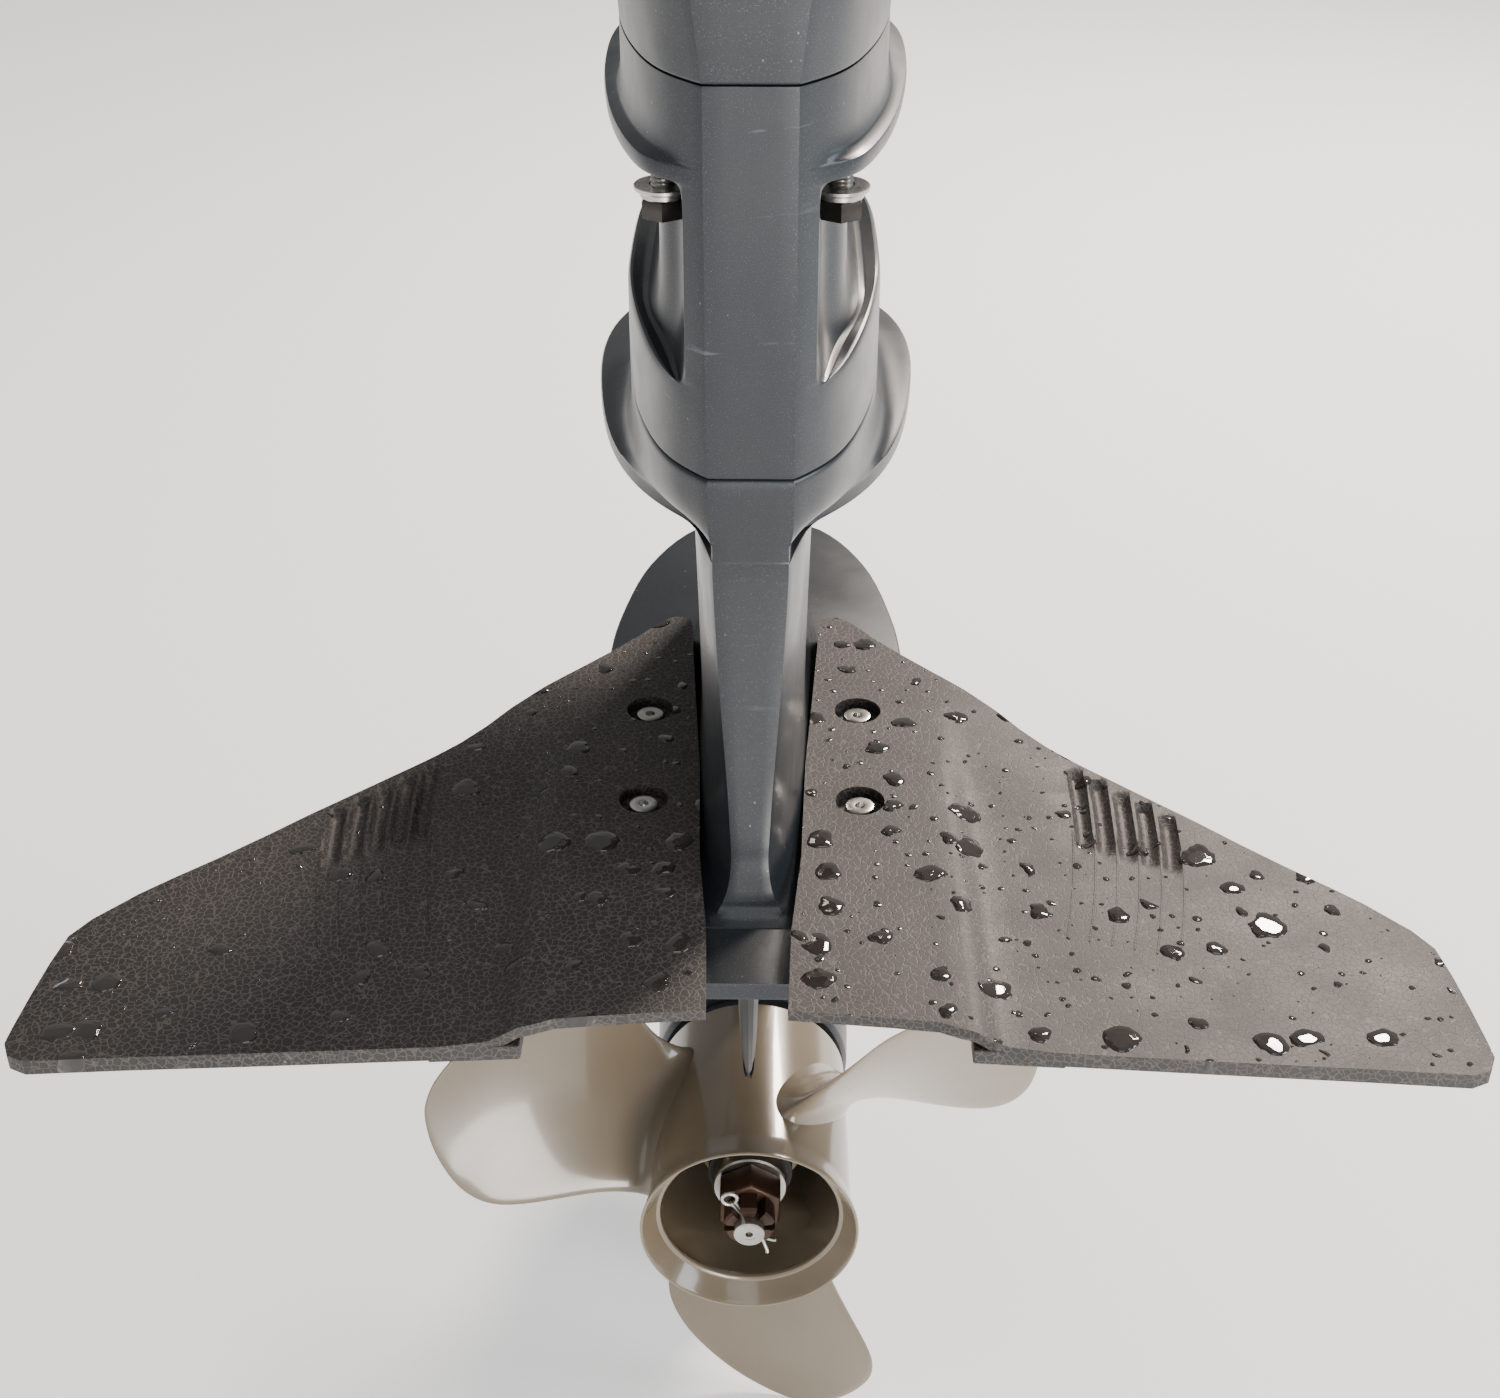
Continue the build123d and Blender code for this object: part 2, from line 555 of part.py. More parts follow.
with BuildPart() as gear_bearings:
    rod((0, SHAFT_Y + CHAMBER_BEARING[0], PROP_Z), FORWARD, CHAMBER_R - FIT, 12)
    rod((0, SHAFT_Y + CHAMBER_BEARING[0], PROP_Z), FORWARD, GEAR_HUB_R + FIT, 12, Mode.SUBTRACT)
    rod((0, SHAFT_Y, PROP_Z + 52), UP, DRIVE_BORE_R - FIT, 16)
    rod((0, SHAFT_Y, PROP_Z + 52), UP, DRIVE_SHAFT_R + FIT, 16, Mode.SUBTRACT)
keep(gear_bearings, "gear_bearings")

CARRIER_REAR_Y, CARRIER_FRONT_Y = BARREL_REAR_Y + 2, SHAFT_Y - 32
with BuildPart() as bearing_carrier:
    rod((0, CARRIER_REAR_Y, PROP_Z), FORWARD, 15, CARRIER_FRONT_Y - CARRIER_REAR_Y)
    rod((0, CARRIER_FRONT_Y - 14, PROP_Z), FORWARD, CHAMBER_R - FIT, 14)
    with BuildSketch(Plane(origin=(0, CARRIER_REAR_Y, PROP_Z), x_dir=(1, 0, 0), z_dir=(0, 1, 0))):
        Circle(CHAMBER_R - FIT)
        Circle(25, mode=Mode.SUBTRACT)
        with PolarLocations(20, 3, start_angle=30):
            Rectangle(14, 6)
    extrude(amount=6)
    rod((0, CARRIER_REAR_Y, PROP_Z), FORWARD, PROP_SHAFT_R + FIT, 200, Mode.SUBTRACT)
keep(bearing_carrier, "bearing_carrier")

# ---------------------------------------------------------------- propeller and its shaft
SHAFT_END_Y = ahead(-37)
THREAD_R = 6.0
NUT_L = 18.0
NUT_AF = 24.0
NUT_FRONT_Y = ahead(-12)
SPACER_FRONT_Y = NUT_FRONT_Y + 8
THRUST_FRONT_Y = HUB_FRONT_Y - 4
THRUST_REAR_Y = THRUST_FRONT_Y - 8
BUSHING_R = 17.0
with BuildPart() as propeller_shaft:
    rod((0, SHAFT_Y + 44, PROP_Z), AFT, PROP_SHAFT_R, SHAFT_Y + 44 - SPACER_FRONT_Y)
    rod((0, SPACER_FRONT_Y, PROP_Z), AFT, THREAD_R, SPACER_FRONT_Y - SHAFT_END_Y)
    rod((0, SHAFT_END_Y, PROP_Z), FORWARD, 1.5, 4, Mode.SUBTRACT)
    rod((-20, NUT_FRONT_Y - NUT_L + 4, PROP_Z), RIGHT, 1.6, 40, Mode.SUBTRACT)
keep(propeller_shaft, "propeller_shaft")

with BuildPart() as thrust_washer:
    rod((0, THRUST_FRONT_Y, PROP_Z), AFT, 20, 8)
    rod((0, THRUST_FRONT_Y, PROP_Z), AFT, PROP_SHAFT_R, 8, Mode.SUBTRACT)
keep(thrust_washer, "thrust_washer")

with BuildPart() as propeller_bushing:
    rod((0, THRUST_REAR_Y, PROP_Z), AFT, BUSHING_R, THRUST_REAR_Y - SPACER_FRONT_Y)
    rod((0, THRUST_REAR_Y, PROP_Z), AFT, PROP_SHAFT_R, 100, Mode.SUBTRACT)
keep(propeller_bushing, "propeller_bushing")

with BuildPart() as rear_spacer:
    rod((0, SPACER_FRONT_Y, PROP_Z), AFT, 15, SPACER_FRONT_Y - NUT_FRONT_Y)
    rod((0, SPACER_FRONT_Y, PROP_Z), AFT, THREAD_R, 20, Mode.SUBTRACT)
keep(rear_spacer, "rear_spacer")

CASTLE_SLOTS = 6
with BuildPart() as castle_nut:
    hexagon((0, NUT_FRONT_Y, PROP_Z), AFT, NUT_AF, NUT_L - 8)
    rod((0, NUT_FRONT_Y - NUT_L + 8, PROP_Z), AFT, 10, 8)
    with BuildSketch(Plane(origin=(0, NUT_FRONT_Y - NUT_L, PROP_Z), x_dir=(1, 0, 0), z_dir=(0, 1, 0))):
        with PolarLocations(9, CASTLE_SLOTS):
            Rectangle(8, 3.6)
    extrude(amount=7, mode=Mode.SUBTRACT)
    rod((0, NUT_FRONT_Y, PROP_Z), AFT, THREAD_R, 40, Mode.SUBTRACT)
keep(castle_nut, "castle_nut")

with BuildPart() as cotter_pin:
    rod((-13, NUT_FRONT_Y - NUT_L + 4, PROP_Z), RIGHT, 1.4, 26)
    with BuildSketch(Plane(origin=(-15.5, NUT_FRONT_Y - NUT_L + 4, PROP_Z), z_dir=(0, 1, 0))):
        Circle(3.4)
        Circle(1.4, mode=Mode.SUBTRACT)
    extrude(amount=1.2, both=True)
keep(cotter_pin, "cotter_pin")

BLADE_COUNT = 3
PITCH = 285.0
HUB_WALL = 3.4
THROAT_R = HUB_R - HUB_WALL
FLARE_R = 43.0
BLADE_MID_Y = (HUB_FRONT_Y + HUB_REAR_Y) / 2 + 4
BLADE_RAKE = 0.248  # aft lean, millimetres for each millimetre beyond the hub
# radius, chord, thickness, sweep back of the mid chord in degrees
BLADE_SECTIONS = [
    (28, 56, 9.0, 10),
    (58, 68, 7.2, 7),
    (80, 90, 5.8, 4),
    (100, 104, 4.4, 4),
    (118, 80, 3.2, 7),
    (PROP_R - 5, 36, 2.4, 9),
]


def blade_plane(radius, sweep):
    """Section plane square to the blade's radius, turned back by the sweep; its x axis is the motor's y."""
    angle = math.radians(-90 + sweep)
    out = Vector(math.cos(angle), 0, math.sin(angle))
    middle_y = BLADE_MID_Y - BLADE_RAKE * (radius - HUB_R)
    return Plane(origin=Vector(0, middle_y, PROP_Z) + out * radius, x_dir=(0, 1, 0), z_dir=out)


with BuildPart() as blade:
    for radius, chord, thick, sweep in BLADE_SECTIONS:
        pitch_angle = math.atan2(PITCH, 2 * math.pi * radius)
        along = Vector(math.sin(pitch_angle), -math.cos(pitch_angle))
        across = Vector(along.Y, -along.X)
        leading, trailing = along * (chord / 2), along * (-chord / 2)
        with BuildSketch(blade_plane(radius, sweep)):
            with BuildLine():
                ThreePointArc(leading, across * (thick * 0.9), trailing)
                ThreePointArc(trailing, across * (-thick * 0.1), leading)
            make_face()
    loft()

with BuildPart() as propeller:
    # hub tube with its flared rear ring
    with BuildSketch(Plane.XY.offset(PROP_Z)):
        with BuildLine():
            Polyline(
                (THROAT_R, HUB_FRONT_Y),
                (HUB_R, HUB_FRONT_Y),
                (HUB_R, HUB_REAR_Y + 14),
                (FLARE_R, HUB_REAR_Y),
                (FLARE_R - 3, HUB_REAR_Y),
                (THROAT_R, HUB_REAR_Y + 14),
                close=True,
            )
        make_face()
    revolve(axis=Axis((0, 0, PROP_Z), (0, 1, 0)))
    # bushing sleeve and the ribs that carry it
    rod((0, THRUST_REAR_Y, PROP_Z), AFT, BUSHING_R + 4, THRUST_REAR_Y - SPACER_FRONT_Y)
    with BuildSketch(Plane(origin=(0, THRUST_REAR_Y - 2, PROP_Z), x_dir=(1, 0, 0), z_dir=(0, -1, 0))):
        with PolarLocations((THROAT_R + BUSHING_R + 4) / 2, BLADE_COUNT, start_angle=30):
            Rectangle(THROAT_R - BUSHING_R - 2, 6)
    extrude(amount=THRUST_REAR_Y - SPACER_FRONT_Y - 8)
    for number in range(BLADE_COUNT):
        add(blade.part.rotate(Axis((0, 0, PROP_Z), (0, 1, 0)), number * 360 / BLADE_COUNT))
    # clear the blades' roots out of the throat
    with BuildSketch(Plane(origin=(0, HUB_FRONT_Y + 30, PROP_Z), x_dir=(1, 0, 0), z_dir=(0, -1, 0))):
        Circle(THROAT_R)
        Circle(BUSHING_R + 4, mode=Mode.SUBTRACT)
        with PolarLocations((THROAT_R + BUSHING_R + 4) / 2, BLADE_COUNT, start_angle=30):
            Rectangle(THROAT_R - BUSHING_R, 6, mode=Mode.SUBTRACT)
    extrude(amount=160, mode=Mode.SUBTRACT)
    rod((0, HUB_FRONT_Y + 30, PROP_Z), AFT, BUSHING_R, 160, Mode.SUBTRACT)
keep(propeller, "propeller")

# ---------------------------------------------------------------- drive shaft
DRIVE_SHAFT_LOW_Z = PROP_Z + GEAR_R * FACE_SHARE + 1
CRANK_LOW_Z = 96.0
with BuildPart() as drive_shaft:
    rod((0, SHAFT_Y, DRIVE_SHAFT_LOW_Z), UP, DRIVE_SHAFT_R, CRANK_LOW_Z - DRIVE_SHAFT_LOW_Z)
keep(drive_shaft, "drive_shaft")

# ---------------------------------------------------------------- steering shaft and yokes
STEER_R = 16.0
SWIVEL_R = 26.0
SWIVEL_LOW_Z, SWIVEL_HIGH_Z = -150.0, 18.0
YOKE_REAR_Y = MOUNT_FACE_Y + 6
with BuildPart() as steering_shaft:
    rod((0, PIVOT_Y, LOWER_MOUNT_Z - 14), UP, STEER_R, UPPER_MOUNT_Z + 12 - LOWER_MOUNT_Z + 14)
    rod((0, PIVOT_Y, UPPER_MOUNT_Z - 12), UP, SWIVEL_R - 1, 24)
    block((-38, YOKE_REAR_Y, UPPER_MOUNT_Z - 12), (38, PIVOT_Y - 10, UPPER_MOUNT_Z + 12))
    rod((0, PIVOT_Y, LOWER_MOUNT_Z - 20), UP, STEER_R - 5, 300, Mode.SUBTRACT)
keep(steering_shaft, "steering_shaft")

with BuildPart() as lower_yoke:
    rod((0, PIVOT_Y, LOWER_MOUNT_Z - 13), UP, SWIVEL_R - 2, 26)
    block((-32, YOKE_REAR_Y, LOWER_MOUNT_Z - 13), (32, PIVOT_Y - 8, LOWER_MOUNT_Z + 13))
    rod((0, PIVOT_Y, LOWER_MOUNT_Z - 20), UP, STEER_R, 60, Mode.SUBTRACT)
keep(lower_yoke, "lower_yoke")

# ---------------------------------------------------------------- swivel bracket
TILT_TUBE_R = 11.0
TILT_LUG_R = 19.0
BUSH_R = 19.0
SWIVEL_HALF = 57.5
with BuildPart() as swivel_bracket:
    rod((0, PIVOT_Y, SWIVEL_LOW_Z), UP, SWIVEL_R, SWIVEL_HIGH_Z - SWIVEL_LOW_Z)
    rod((-SWIVEL_HALF, TILT_Y, TILT_Z), RIGHT, TILT_LUG_R, 2 * SWIVEL_HALF)
    side_profile([(TILT_Y, TILT_Z - 17), (PIVOT_Y, SWIVEL_HIGH_Z), (PIVOT_Y, -70), (-34, -30)], -24, 24)
    for side in (PORT, STARBOARD):
        low, high = sorted((side * 40, side * SWIVEL_HALF))
        side_profile([(TILT_Y + 12, TILT_Z - 10), (TILT_Y - 18, TILT_Z), (-58, -60), (-44, -60)], low, high)
        low, high = sorted((side * 12, side * 42))
        side_profile([(-58, -60), (-44, -60), (-36, -34), (-48, -34)], low, high)
    rod((0, PIVOT_Y, SWIVEL_LOW_Z - 1), UP, BUSH_R, 200, Mode.SUBTRACT)
    rod((-80, TILT_Y, TILT_Z), RIGHT, TILT_TUBE_R + FIT, 160, Mode.SUBTRACT)
keep(swivel_bracket, "swivel_bracket")

with BuildPart() as pivot_bushes:
    for low_z in (SWIVEL_LOW_Z, SWIVEL_HIGH_Z - 30):
        rod((0, PIVOT_Y, low_z), UP, BUSH_R, 30)
    rod((0, PIVOT_Y, SWIVEL_LOW_Z - 1), UP, STEER_R + FIT, 200, Mode.SUBTRACT)
keep(pivot_bushes, "pivot_bushes")

# ---------------------------------------------------------------- clamp brackets
CLAMP_INNER_X, CLAMP_OUTER_X = 60.0, 74.0
CLAMP_X = (CLAMP_INNER_X + CLAMP_OUTER_X) / 2
JAW = 50.0  # widest transom
SCREW_Z = -75.0
SCREW_R = 6.0
BOSS_FRONT_Y = 82.0
TILT_PIN_R = 5.0
TILT_PIN_DISTANCE = 168.0
TRIM_ANGLES = (1.5, 6.0, 10.5)
CLAMP_OUTLINE = [
    (0, 0),
    (0, -212),
    (-22, -214),
    (-62, -172),
    (-62, -110),
    (-52, -40),
    (-35, 20),
    (-20, 50),
    (12, 53),
    (60, 42),
    (78, 22),
    (80, -98),
    (72, -112),
    (58, -112),
    (JAW, -98),
    (JAW, 0),
]


def trim_hole(angle):
    """Place in the YZ plane of the tilt pin at a trim angle."""
    turn = math.radians(angle)
    return (TILT_Y - TILT_PIN_DISTANCE * math.sin(turn), TILT_Z - TILT_PIN_DISTANCE * math.cos(turn))


def make_clamp(side):
    """One clamp bracket: a hook over the transom with bosses for the tilt tube and the screw."""
    low, high = sorted((side * CLAMP_INNER_X, side * CLAMP_OUTER_X))
    with BuildPart() as bracket:
        side_profile(CLAMP_OUTLINE, low, high)
        rod((low, TILT_Y, TILT_Z), RIGHT, 21, high - low)
        rod((side * CLAMP_X, JAW, SCREW_Z), FORWARD, 14, BOSS_FRONT_Y - JAW)
        # wide pads that sit on the transom's edge and bear on its aft face
        pad_low, pad_high = sorted((side * (CLAMP_INNER_X - 1), side * (CLAMP_OUTER_X + 10)))
        block((pad_low, 0, 0), (pad_high, JAW, 8))
        block((pad_low, -8, -205), (pad_high, 0, -140))
        rod((low - 30, TILT_Y, TILT_Z), RIGHT, TILT_TUBE_R + FIT, 80, Mode.SUBTRACT)
        rod((side * CLAMP_X, JAW - 5, SCREW_Z), FORWARD, SCREW_R + FIT, 60, Mode.SUBTRACT)
        for angle in TRIM_ANGLES:
            hole_y, hole_z = trim_hole(angle)
            rod((low - 5, hole_y, hole_z), RIGHT, TILT_PIN_R + FIT, 40, Mode.SUBTRACT)
    return bracket


clamp_starboard = make_clamp(STARBOARD)
keep(clamp_starboard, "clamp_bracket_starboard")
clamp_port = make_clamp(PORT)
keep(clamp_port, "clamp_bracket_port")

with BuildPart() as tilt_tube:
    rod((-92, TILT_Y, TILT_Z), RIGHT, TILT_TUBE_R, 184)
    rod((-100, TILT_Y, TILT_Z), RIGHT, TILT_TUBE_R - 3, 200, Mode.SUBTRACT)
keep(tilt_tube, "tilt_tube")

with BuildPart() as tilt_tube_nuts:
    for side, direction in ((PORT, LEFT), (STARBOARD, RIGHT)):
        hexagon((side * CLAMP_OUTER_X, TILT_Y, TILT_Z), direction, 30, 12)
    rod((-100, TILT_Y, TILT_Z), RIGHT, TILT_TUBE_R, 200, Mode.SUBTRACT)
keep(tilt_tube_nuts, "tilt_tube_nuts")

PIN_Y, PIN_Z = trim_hole(TRIM_ANGLES[-1])
with BuildPart() as tilt_pin:
    rod((-84, PIN_Y, PIN_Z), RIGHT, TILT_PIN_R, 176)
    rod((-92, PIN_Y, PIN_Z), RIGHT, 8, 8)
    rod((86, PIN_Y, PIN_Z - 12), UP, 1.5, 24)
keep(tilt_pin, "tilt_pin")

PAD_FACE_Y, PAD_T = 42.0, 6.0
PAD_R = 17.0
PAD_NECK_R = 4.5
SCREW_FRONT_Y = 128.0
BAR_HALF, BAR_R = 34.0, 4.0


def make_pad(side):
    """Swivelling clamp pad on the screw's nose."""
    with BuildPart() as pad:
        rod((side * CLAMP_X, PAD_FACE_Y, SCREW_Z), FORWARD, PAD_R, PAD_T)
        rod((side * CLAMP_X, PAD_FACE_Y + 2, SCREW_Z), FORWARD, PAD_NECK_R + FIT, PAD_T, Mode.SUBTRACT)
    return pad


def make_screw(side):
    """Clamp screw with its tommy bar."""
    screw_x = side * CLAMP_X
    thread_y = PAD_FACE_Y + PAD_T + 0.5
    with BuildPart() as screw:
        rod((screw_x, PAD_FACE_Y + 2 + FIT, SCREW_Z), FORWARD, PAD_NECK_R, PAD_T)
        rod((screw_x, thread_y, SCREW_Z), FORWARD, SCREW_R, SCREW_FRONT_Y - thread_y)
        rod((screw_x, SCREW_FRONT_Y - 8, SCREW_Z), FORWARD, 9, 16)
        rod((screw_x - BAR_HALF, SCREW_FRONT_Y, SCREW_Z), RIGHT, BAR_R, 2 * BAR_HALF)
        for end in (-BAR_HALF, BAR_HALF):
            with Locations((screw_x + end, SCREW_FRONT_Y, SCREW_Z)):
                Sphere(BAR_R + 2.5)
    return screw


for side, side_name in ((PORT, "port"), (STARBOARD, "starboard")):
    keep(make_pad(side), f"clamp_pad_{side_name}")
    keep(make_screw(side), f"clamp_screw_{side_name}")

# ---------------------------------------------------------------- cowls
COWL_LOW_Z, COWL_SPLIT_Z, COWL_TOP_Z = 72.0, 128.0, 430.0
COWL_FLOOR_T = 5.0
COWL_WALL = 4.0
SEAL_T = 4.0
COWL_HALF = 116.0
COWL_REAR_Y, COWL_FRONT_Y = -362.0, -36.0
COWL_REAR_FLAT, COWL_FRONT_FLAT = 45.0, 28.0


def cowl_face(inset=0.0):
    """Cowl outline seen from above: broad rounded rear, nose that narrows to a flat front."""
    rear_y, front_y, half = COWL_REAR_Y + inset, COWL_FRONT_Y - inset, COWL_HALF - inset
    with BuildSketch() as face:
        with BuildLine():
            rear = Line((0, rear_y), (COWL_REAR_FLAT, rear_y))
            side = Spline(rear @ 1, (half - 24, rear_y + 20), (half, -230), tangents=[(1, 0), (0, 1)])
            flank = Line(side @ 1, (half, -160))
            nose = Spline(
                flank @ 1,
                (half - 38, front_y - 30),
                (COWL_FRONT_FLAT, front_y),
                tangents=[(0, 1), (-1, 0.3)],
            )
            front = Line(nose @ 1, (0, front_y))
            for edge in (rear, side, flank, nose, front):
                mirror(edge, about=Plane.YZ)
        make_face()
    return face.sketch


ADAPTER_HALF, ADAPTER_REAR_Y, ADAPTER_FRONT_Y = 56.0, -262.0, -112.0
LATCH_Z = 96.0
LATCH_PIN_R = 3.5
LEVER_Y, LEVER_Z = -110.0, 104.0  # shift lever's pivot
LEVER_PIN_R = 5.0
with BuildPart() as bottom_cowl:
    floor_z = COWL_LOW_Z + COWL_FLOOR_T
    for z, inset in ((COWL_LOW_Z, 10.0), (COWL_SPLIT_Z, 0.0)):
        with BuildSketch(Plane.XY.offset(z)):
            add(cowl_face(inset))
    loft(ruled=True)
    for z, inset in ((floor_z, 10.0 + COWL_WALL), (COWL_SPLIT_Z, COWL_WALL)):
        with BuildSketch(Plane.XY.offset(z)):
            add(cowl_face(inset))
    loft(ruled=True, mode=Mode.SUBTRACT)
    block(
        (-ADAPTER_HALF, ADAPTER_REAR_Y, COWL_LOW_Z - 5),
        (ADAPTER_HALF, ADAPTER_FRONT_Y, COWL_LOW_Z + 20),
        Mode.SUBTRACT,
    )
    # flat pad for the tiller bracket, flush with the rim
    block((-28, COWL_FRONT_Y - 14, 86), (28, COWL_FRONT_Y, COWL_SPLIT_Z))
    # hinge lugs for the latch at the rear
    for side in (PORT, STARBOARD):
        low, high = sorted((side * 17, side * 22))
        block((low, COWL_REAR_Y - 11.5, LATCH_Z - 6), (high, COWL_REAR_Y + 9, LATCH_Z + 6))
    rod((-30, COWL_REAR_Y - 7, LATCH_Z), RIGHT, LATCH_PIN_R + FIT, 60, Mode.SUBTRACT)
    # shift lever's bore on the starboard side
    rod((70, LEVER_Y, LEVER_Z), RIGHT, LEVER_PIN_R + FIT, 60, Mode.SUBTRACT)
    rod((0, SHIFT_Y, 60), UP, SHIFT_BORE_R, 30, Mode.SUBTRACT)
keep(bottom_cowl, "bottom_cowl")

with BuildPart() as cowl_seal:
    with BuildSketch(Plane.XY.offset(COWL_SPLIT_Z)):
        add(cowl_face(inset=0.5))
        add(cowl_face(inset=COWL_WALL - 0.5), mode=Mode.SUBTRACT)
    extrude(amount=SEAL_T)
keep(cowl_seal, "cowl_seal")

COWL_LEVELS = [(COWL_SPLIT_Z + SEAL_T, 0.0), (330.0, 3.0), (395.0, 16.0), (420.0, 30.0), (COWL_TOP_Z, 46.0)]
with BuildPart() as top_cowl:
    for z, inset in COWL_LEVELS:
        with BuildSketch(Plane.XY.offset(z)):
            add(cowl_face(inset))
    loft(ruled=True)
    for z, inset in COWL_LEVELS[:-1] + [(COWL_TOP_Z - COWL_WALL, COWL_LEVELS[-1][1] - 1)]:
        with BuildSketch(Plane.XY.offset(z)):
            add(cowl_face(inset + COWL_WALL))
    loft(ruled=True, mode=Mode.SUBTRACT)
    # air inlet slots high at the rear
    block((-50, COWL_REAR_Y - 10, 300), (50, COWL_REAR_Y + 40, 312), Mode.SUBTRACT)
keep(top_cowl, "top_cowl")

with BuildPart() as cowl_latch:
    block((-16, COWL_REAR_Y - 11, LATCH_Z - 6), (16, COWL_REAR_Y - 3, LATCH_Z + 44))
    block((-16, COWL_REAR_Y - 16, LATCH_Z - 12), (16, COWL_REAR_Y - 7, LATCH_Z - 4))
    rod((-22, COWL_REAR_Y - 7, LATCH_Z), RIGHT, LATCH_PIN_R, 44)
keep(cowl_latch, "cowl_latch")

# ---------------------------------------------------------------- powerhead
BLOCK_LOW_Z, BLOCK_HIGH_Z = COWL_LOW_Z + 24, 306.0
CRANKCASE_R = 52.0
CRANK_ROOM_R = 42.0
CYLINDER_Z = (158.0, 248.0)
BORE_R = 33.0
HEAD_JOINT_Y = -292.0
with BuildPart() as engine_block:
    # adapter that stands on the housing and passes through the bottom cowl
    block(
        (-ADAPTER_HALF + CLEAR, ADAPTER_REAR_Y + CLEAR, HOUSING_TOP_Z),
        (ADAPTER_HALF - CLEAR, ADAPTER_FRONT_Y - CLEAR, BLOCK_LOW_Z),
    )
    rod((0, SHAFT_Y, BLOCK_LOW_Z), UP, CRANKCASE_R, BLOCK_HIGH_Z - BLOCK_LOW_Z)
    block((-46, HEAD_JOINT_Y, BLOCK_LOW_Z + 10), (46, SHAFT_Y, BLOCK_HIGH_Z - 8))
    rod((0, SHAFT_Y, BLOCK_LOW_Z + 8), UP, CRANK_ROOM_R, BLOCK_HIGH_Z - BLOCK_LOW_Z - 16, Mode.SUBTRACT)
    rod((0, SHAFT_Y, HOUSING_TOP_Z), UP, 14 + FIT, 400, Mode.SUBTRACT)
    for z in CYLINDER_Z:
        rod((0, HEAD_JOINT_Y, z), FORWARD, BORE_R, SHAFT_Y - HEAD_JOINT_Y, Mode.SUBTRACT)
    # exhaust and shift passages through the adapter
    with BuildSketch(Plane.XY.offset(HOUSING_TOP_Z)):
        with Locations((0, EXHAUST_Y)):
            SlotOverall(EXHAUST_L - 4, EXHAUST_W - 4, rotation=90)
    extrude(amount=30, mode=Mode.SUBTRACT)
    rod((0, SHIFT_Y, HOUSING_TOP_Z), UP, SHIFT_BORE_R, BLOCK_LOW_Z - HOUSING_TOP_Z + 7, Mode.SUBTRACT)
keep(engine_block, "engine_block")

with BuildPart() as cylinder_head:
    block((-46, HEAD_JOINT_Y - 34, BLOCK_LOW_Z + 10), (46, HEAD_JOINT_Y, BLOCK_HIGH_Z - 8))
    for z in CYLINDER_Z:
        rod((0, HEAD_JOINT_Y - 30, z), AFT, 11, 22)
    for row in range(6):
        z = BLOCK_LOW_Z + 26 + row * 30
        block((-47, HEAD_JOINT_Y - 40, z), (-30, HEAD_JOINT_Y - 24, z + 16), Mode.SUBTRACT)
        block((30, HEAD_JOINT_Y - 40, z), (47, HEAD_JOINT_Y - 24, z + 16), Mode.SUBTRACT)
keep(cylinder_head, "cylinder_head")

CRANK_THROW = 17.0
CRANK_MAIN_R = 14.0
FLYWHEEL_Z = 316.0
with BuildPart() as crankshaft:
    rod((0, SHAFT_Y, CRANK_LOW_Z), UP, CRANK_MAIN_R, FLYWHEEL_Z - CRANK_LOW_Z)
    for z, way in zip(CYLINDER_Z, (1, -1)):
        for web_z in (z - 20, z + 10):
            with BuildSketch(Plane.XY.offset(web_z)) as web:
                with Locations((0, SHAFT_Y)):
                    SlotCenterToCenter(28, 44, rotation=90)
            extrude(web.sketch, amount=10)
        rod((0, SHAFT_Y + way * CRANK_THROW, z - 10), UP, 12, 20)
keep(crankshaft, "crankshaft")

with BuildPart() as flywheel:
    rod((0, SHAFT_Y, FLYWHEEL_Z), UP, 88, 26)
    rod((0, SHAFT_Y, FLYWHEEL_Z + 8), UP, 78, 30, Mode.SUBTRACT)
    rod((0, SHAFT_Y, FLYWHEEL_Z), UP, 20, 30)
    hexagon((0, SHAFT_Y, FLYWHEEL_Z + 30), UP, 26, 12)
    with BuildSketch(Plane.XY.offset(FLYWHEEL_Z - 1)):
        with Locations((0, SHAFT_Y)):
            with PolarLocations(89, 72):
                Rectangle(4, 4)
    extrude(amount=13, mode=Mode.SUBTRACT)
keep(flywheel, "flywheel")

with BuildPart() as carburettor:
    block((-34, SHAFT_Y + CRANKCASE_R + 1, 150), (34, -66, 262))
    rod((0, -66, 206), FORWARD, 20, 8)
    rod((0, -50, 206), AFT, 14, 60, Mode.SUBTRACT)
keep(carburettor, "carburettor")

with BuildPart() as starter_motor:
    rod((76, SHAFT_Y - 20, 150), UP, 24, 130)
    rod((76, SHAFT_Y - 20, 280), UP, 8, 24)
    block((53.5, SHAFT_Y - 34, 180), (60, SHAFT_Y - 6, 240))
keep(starter_motor, "starter_motor")

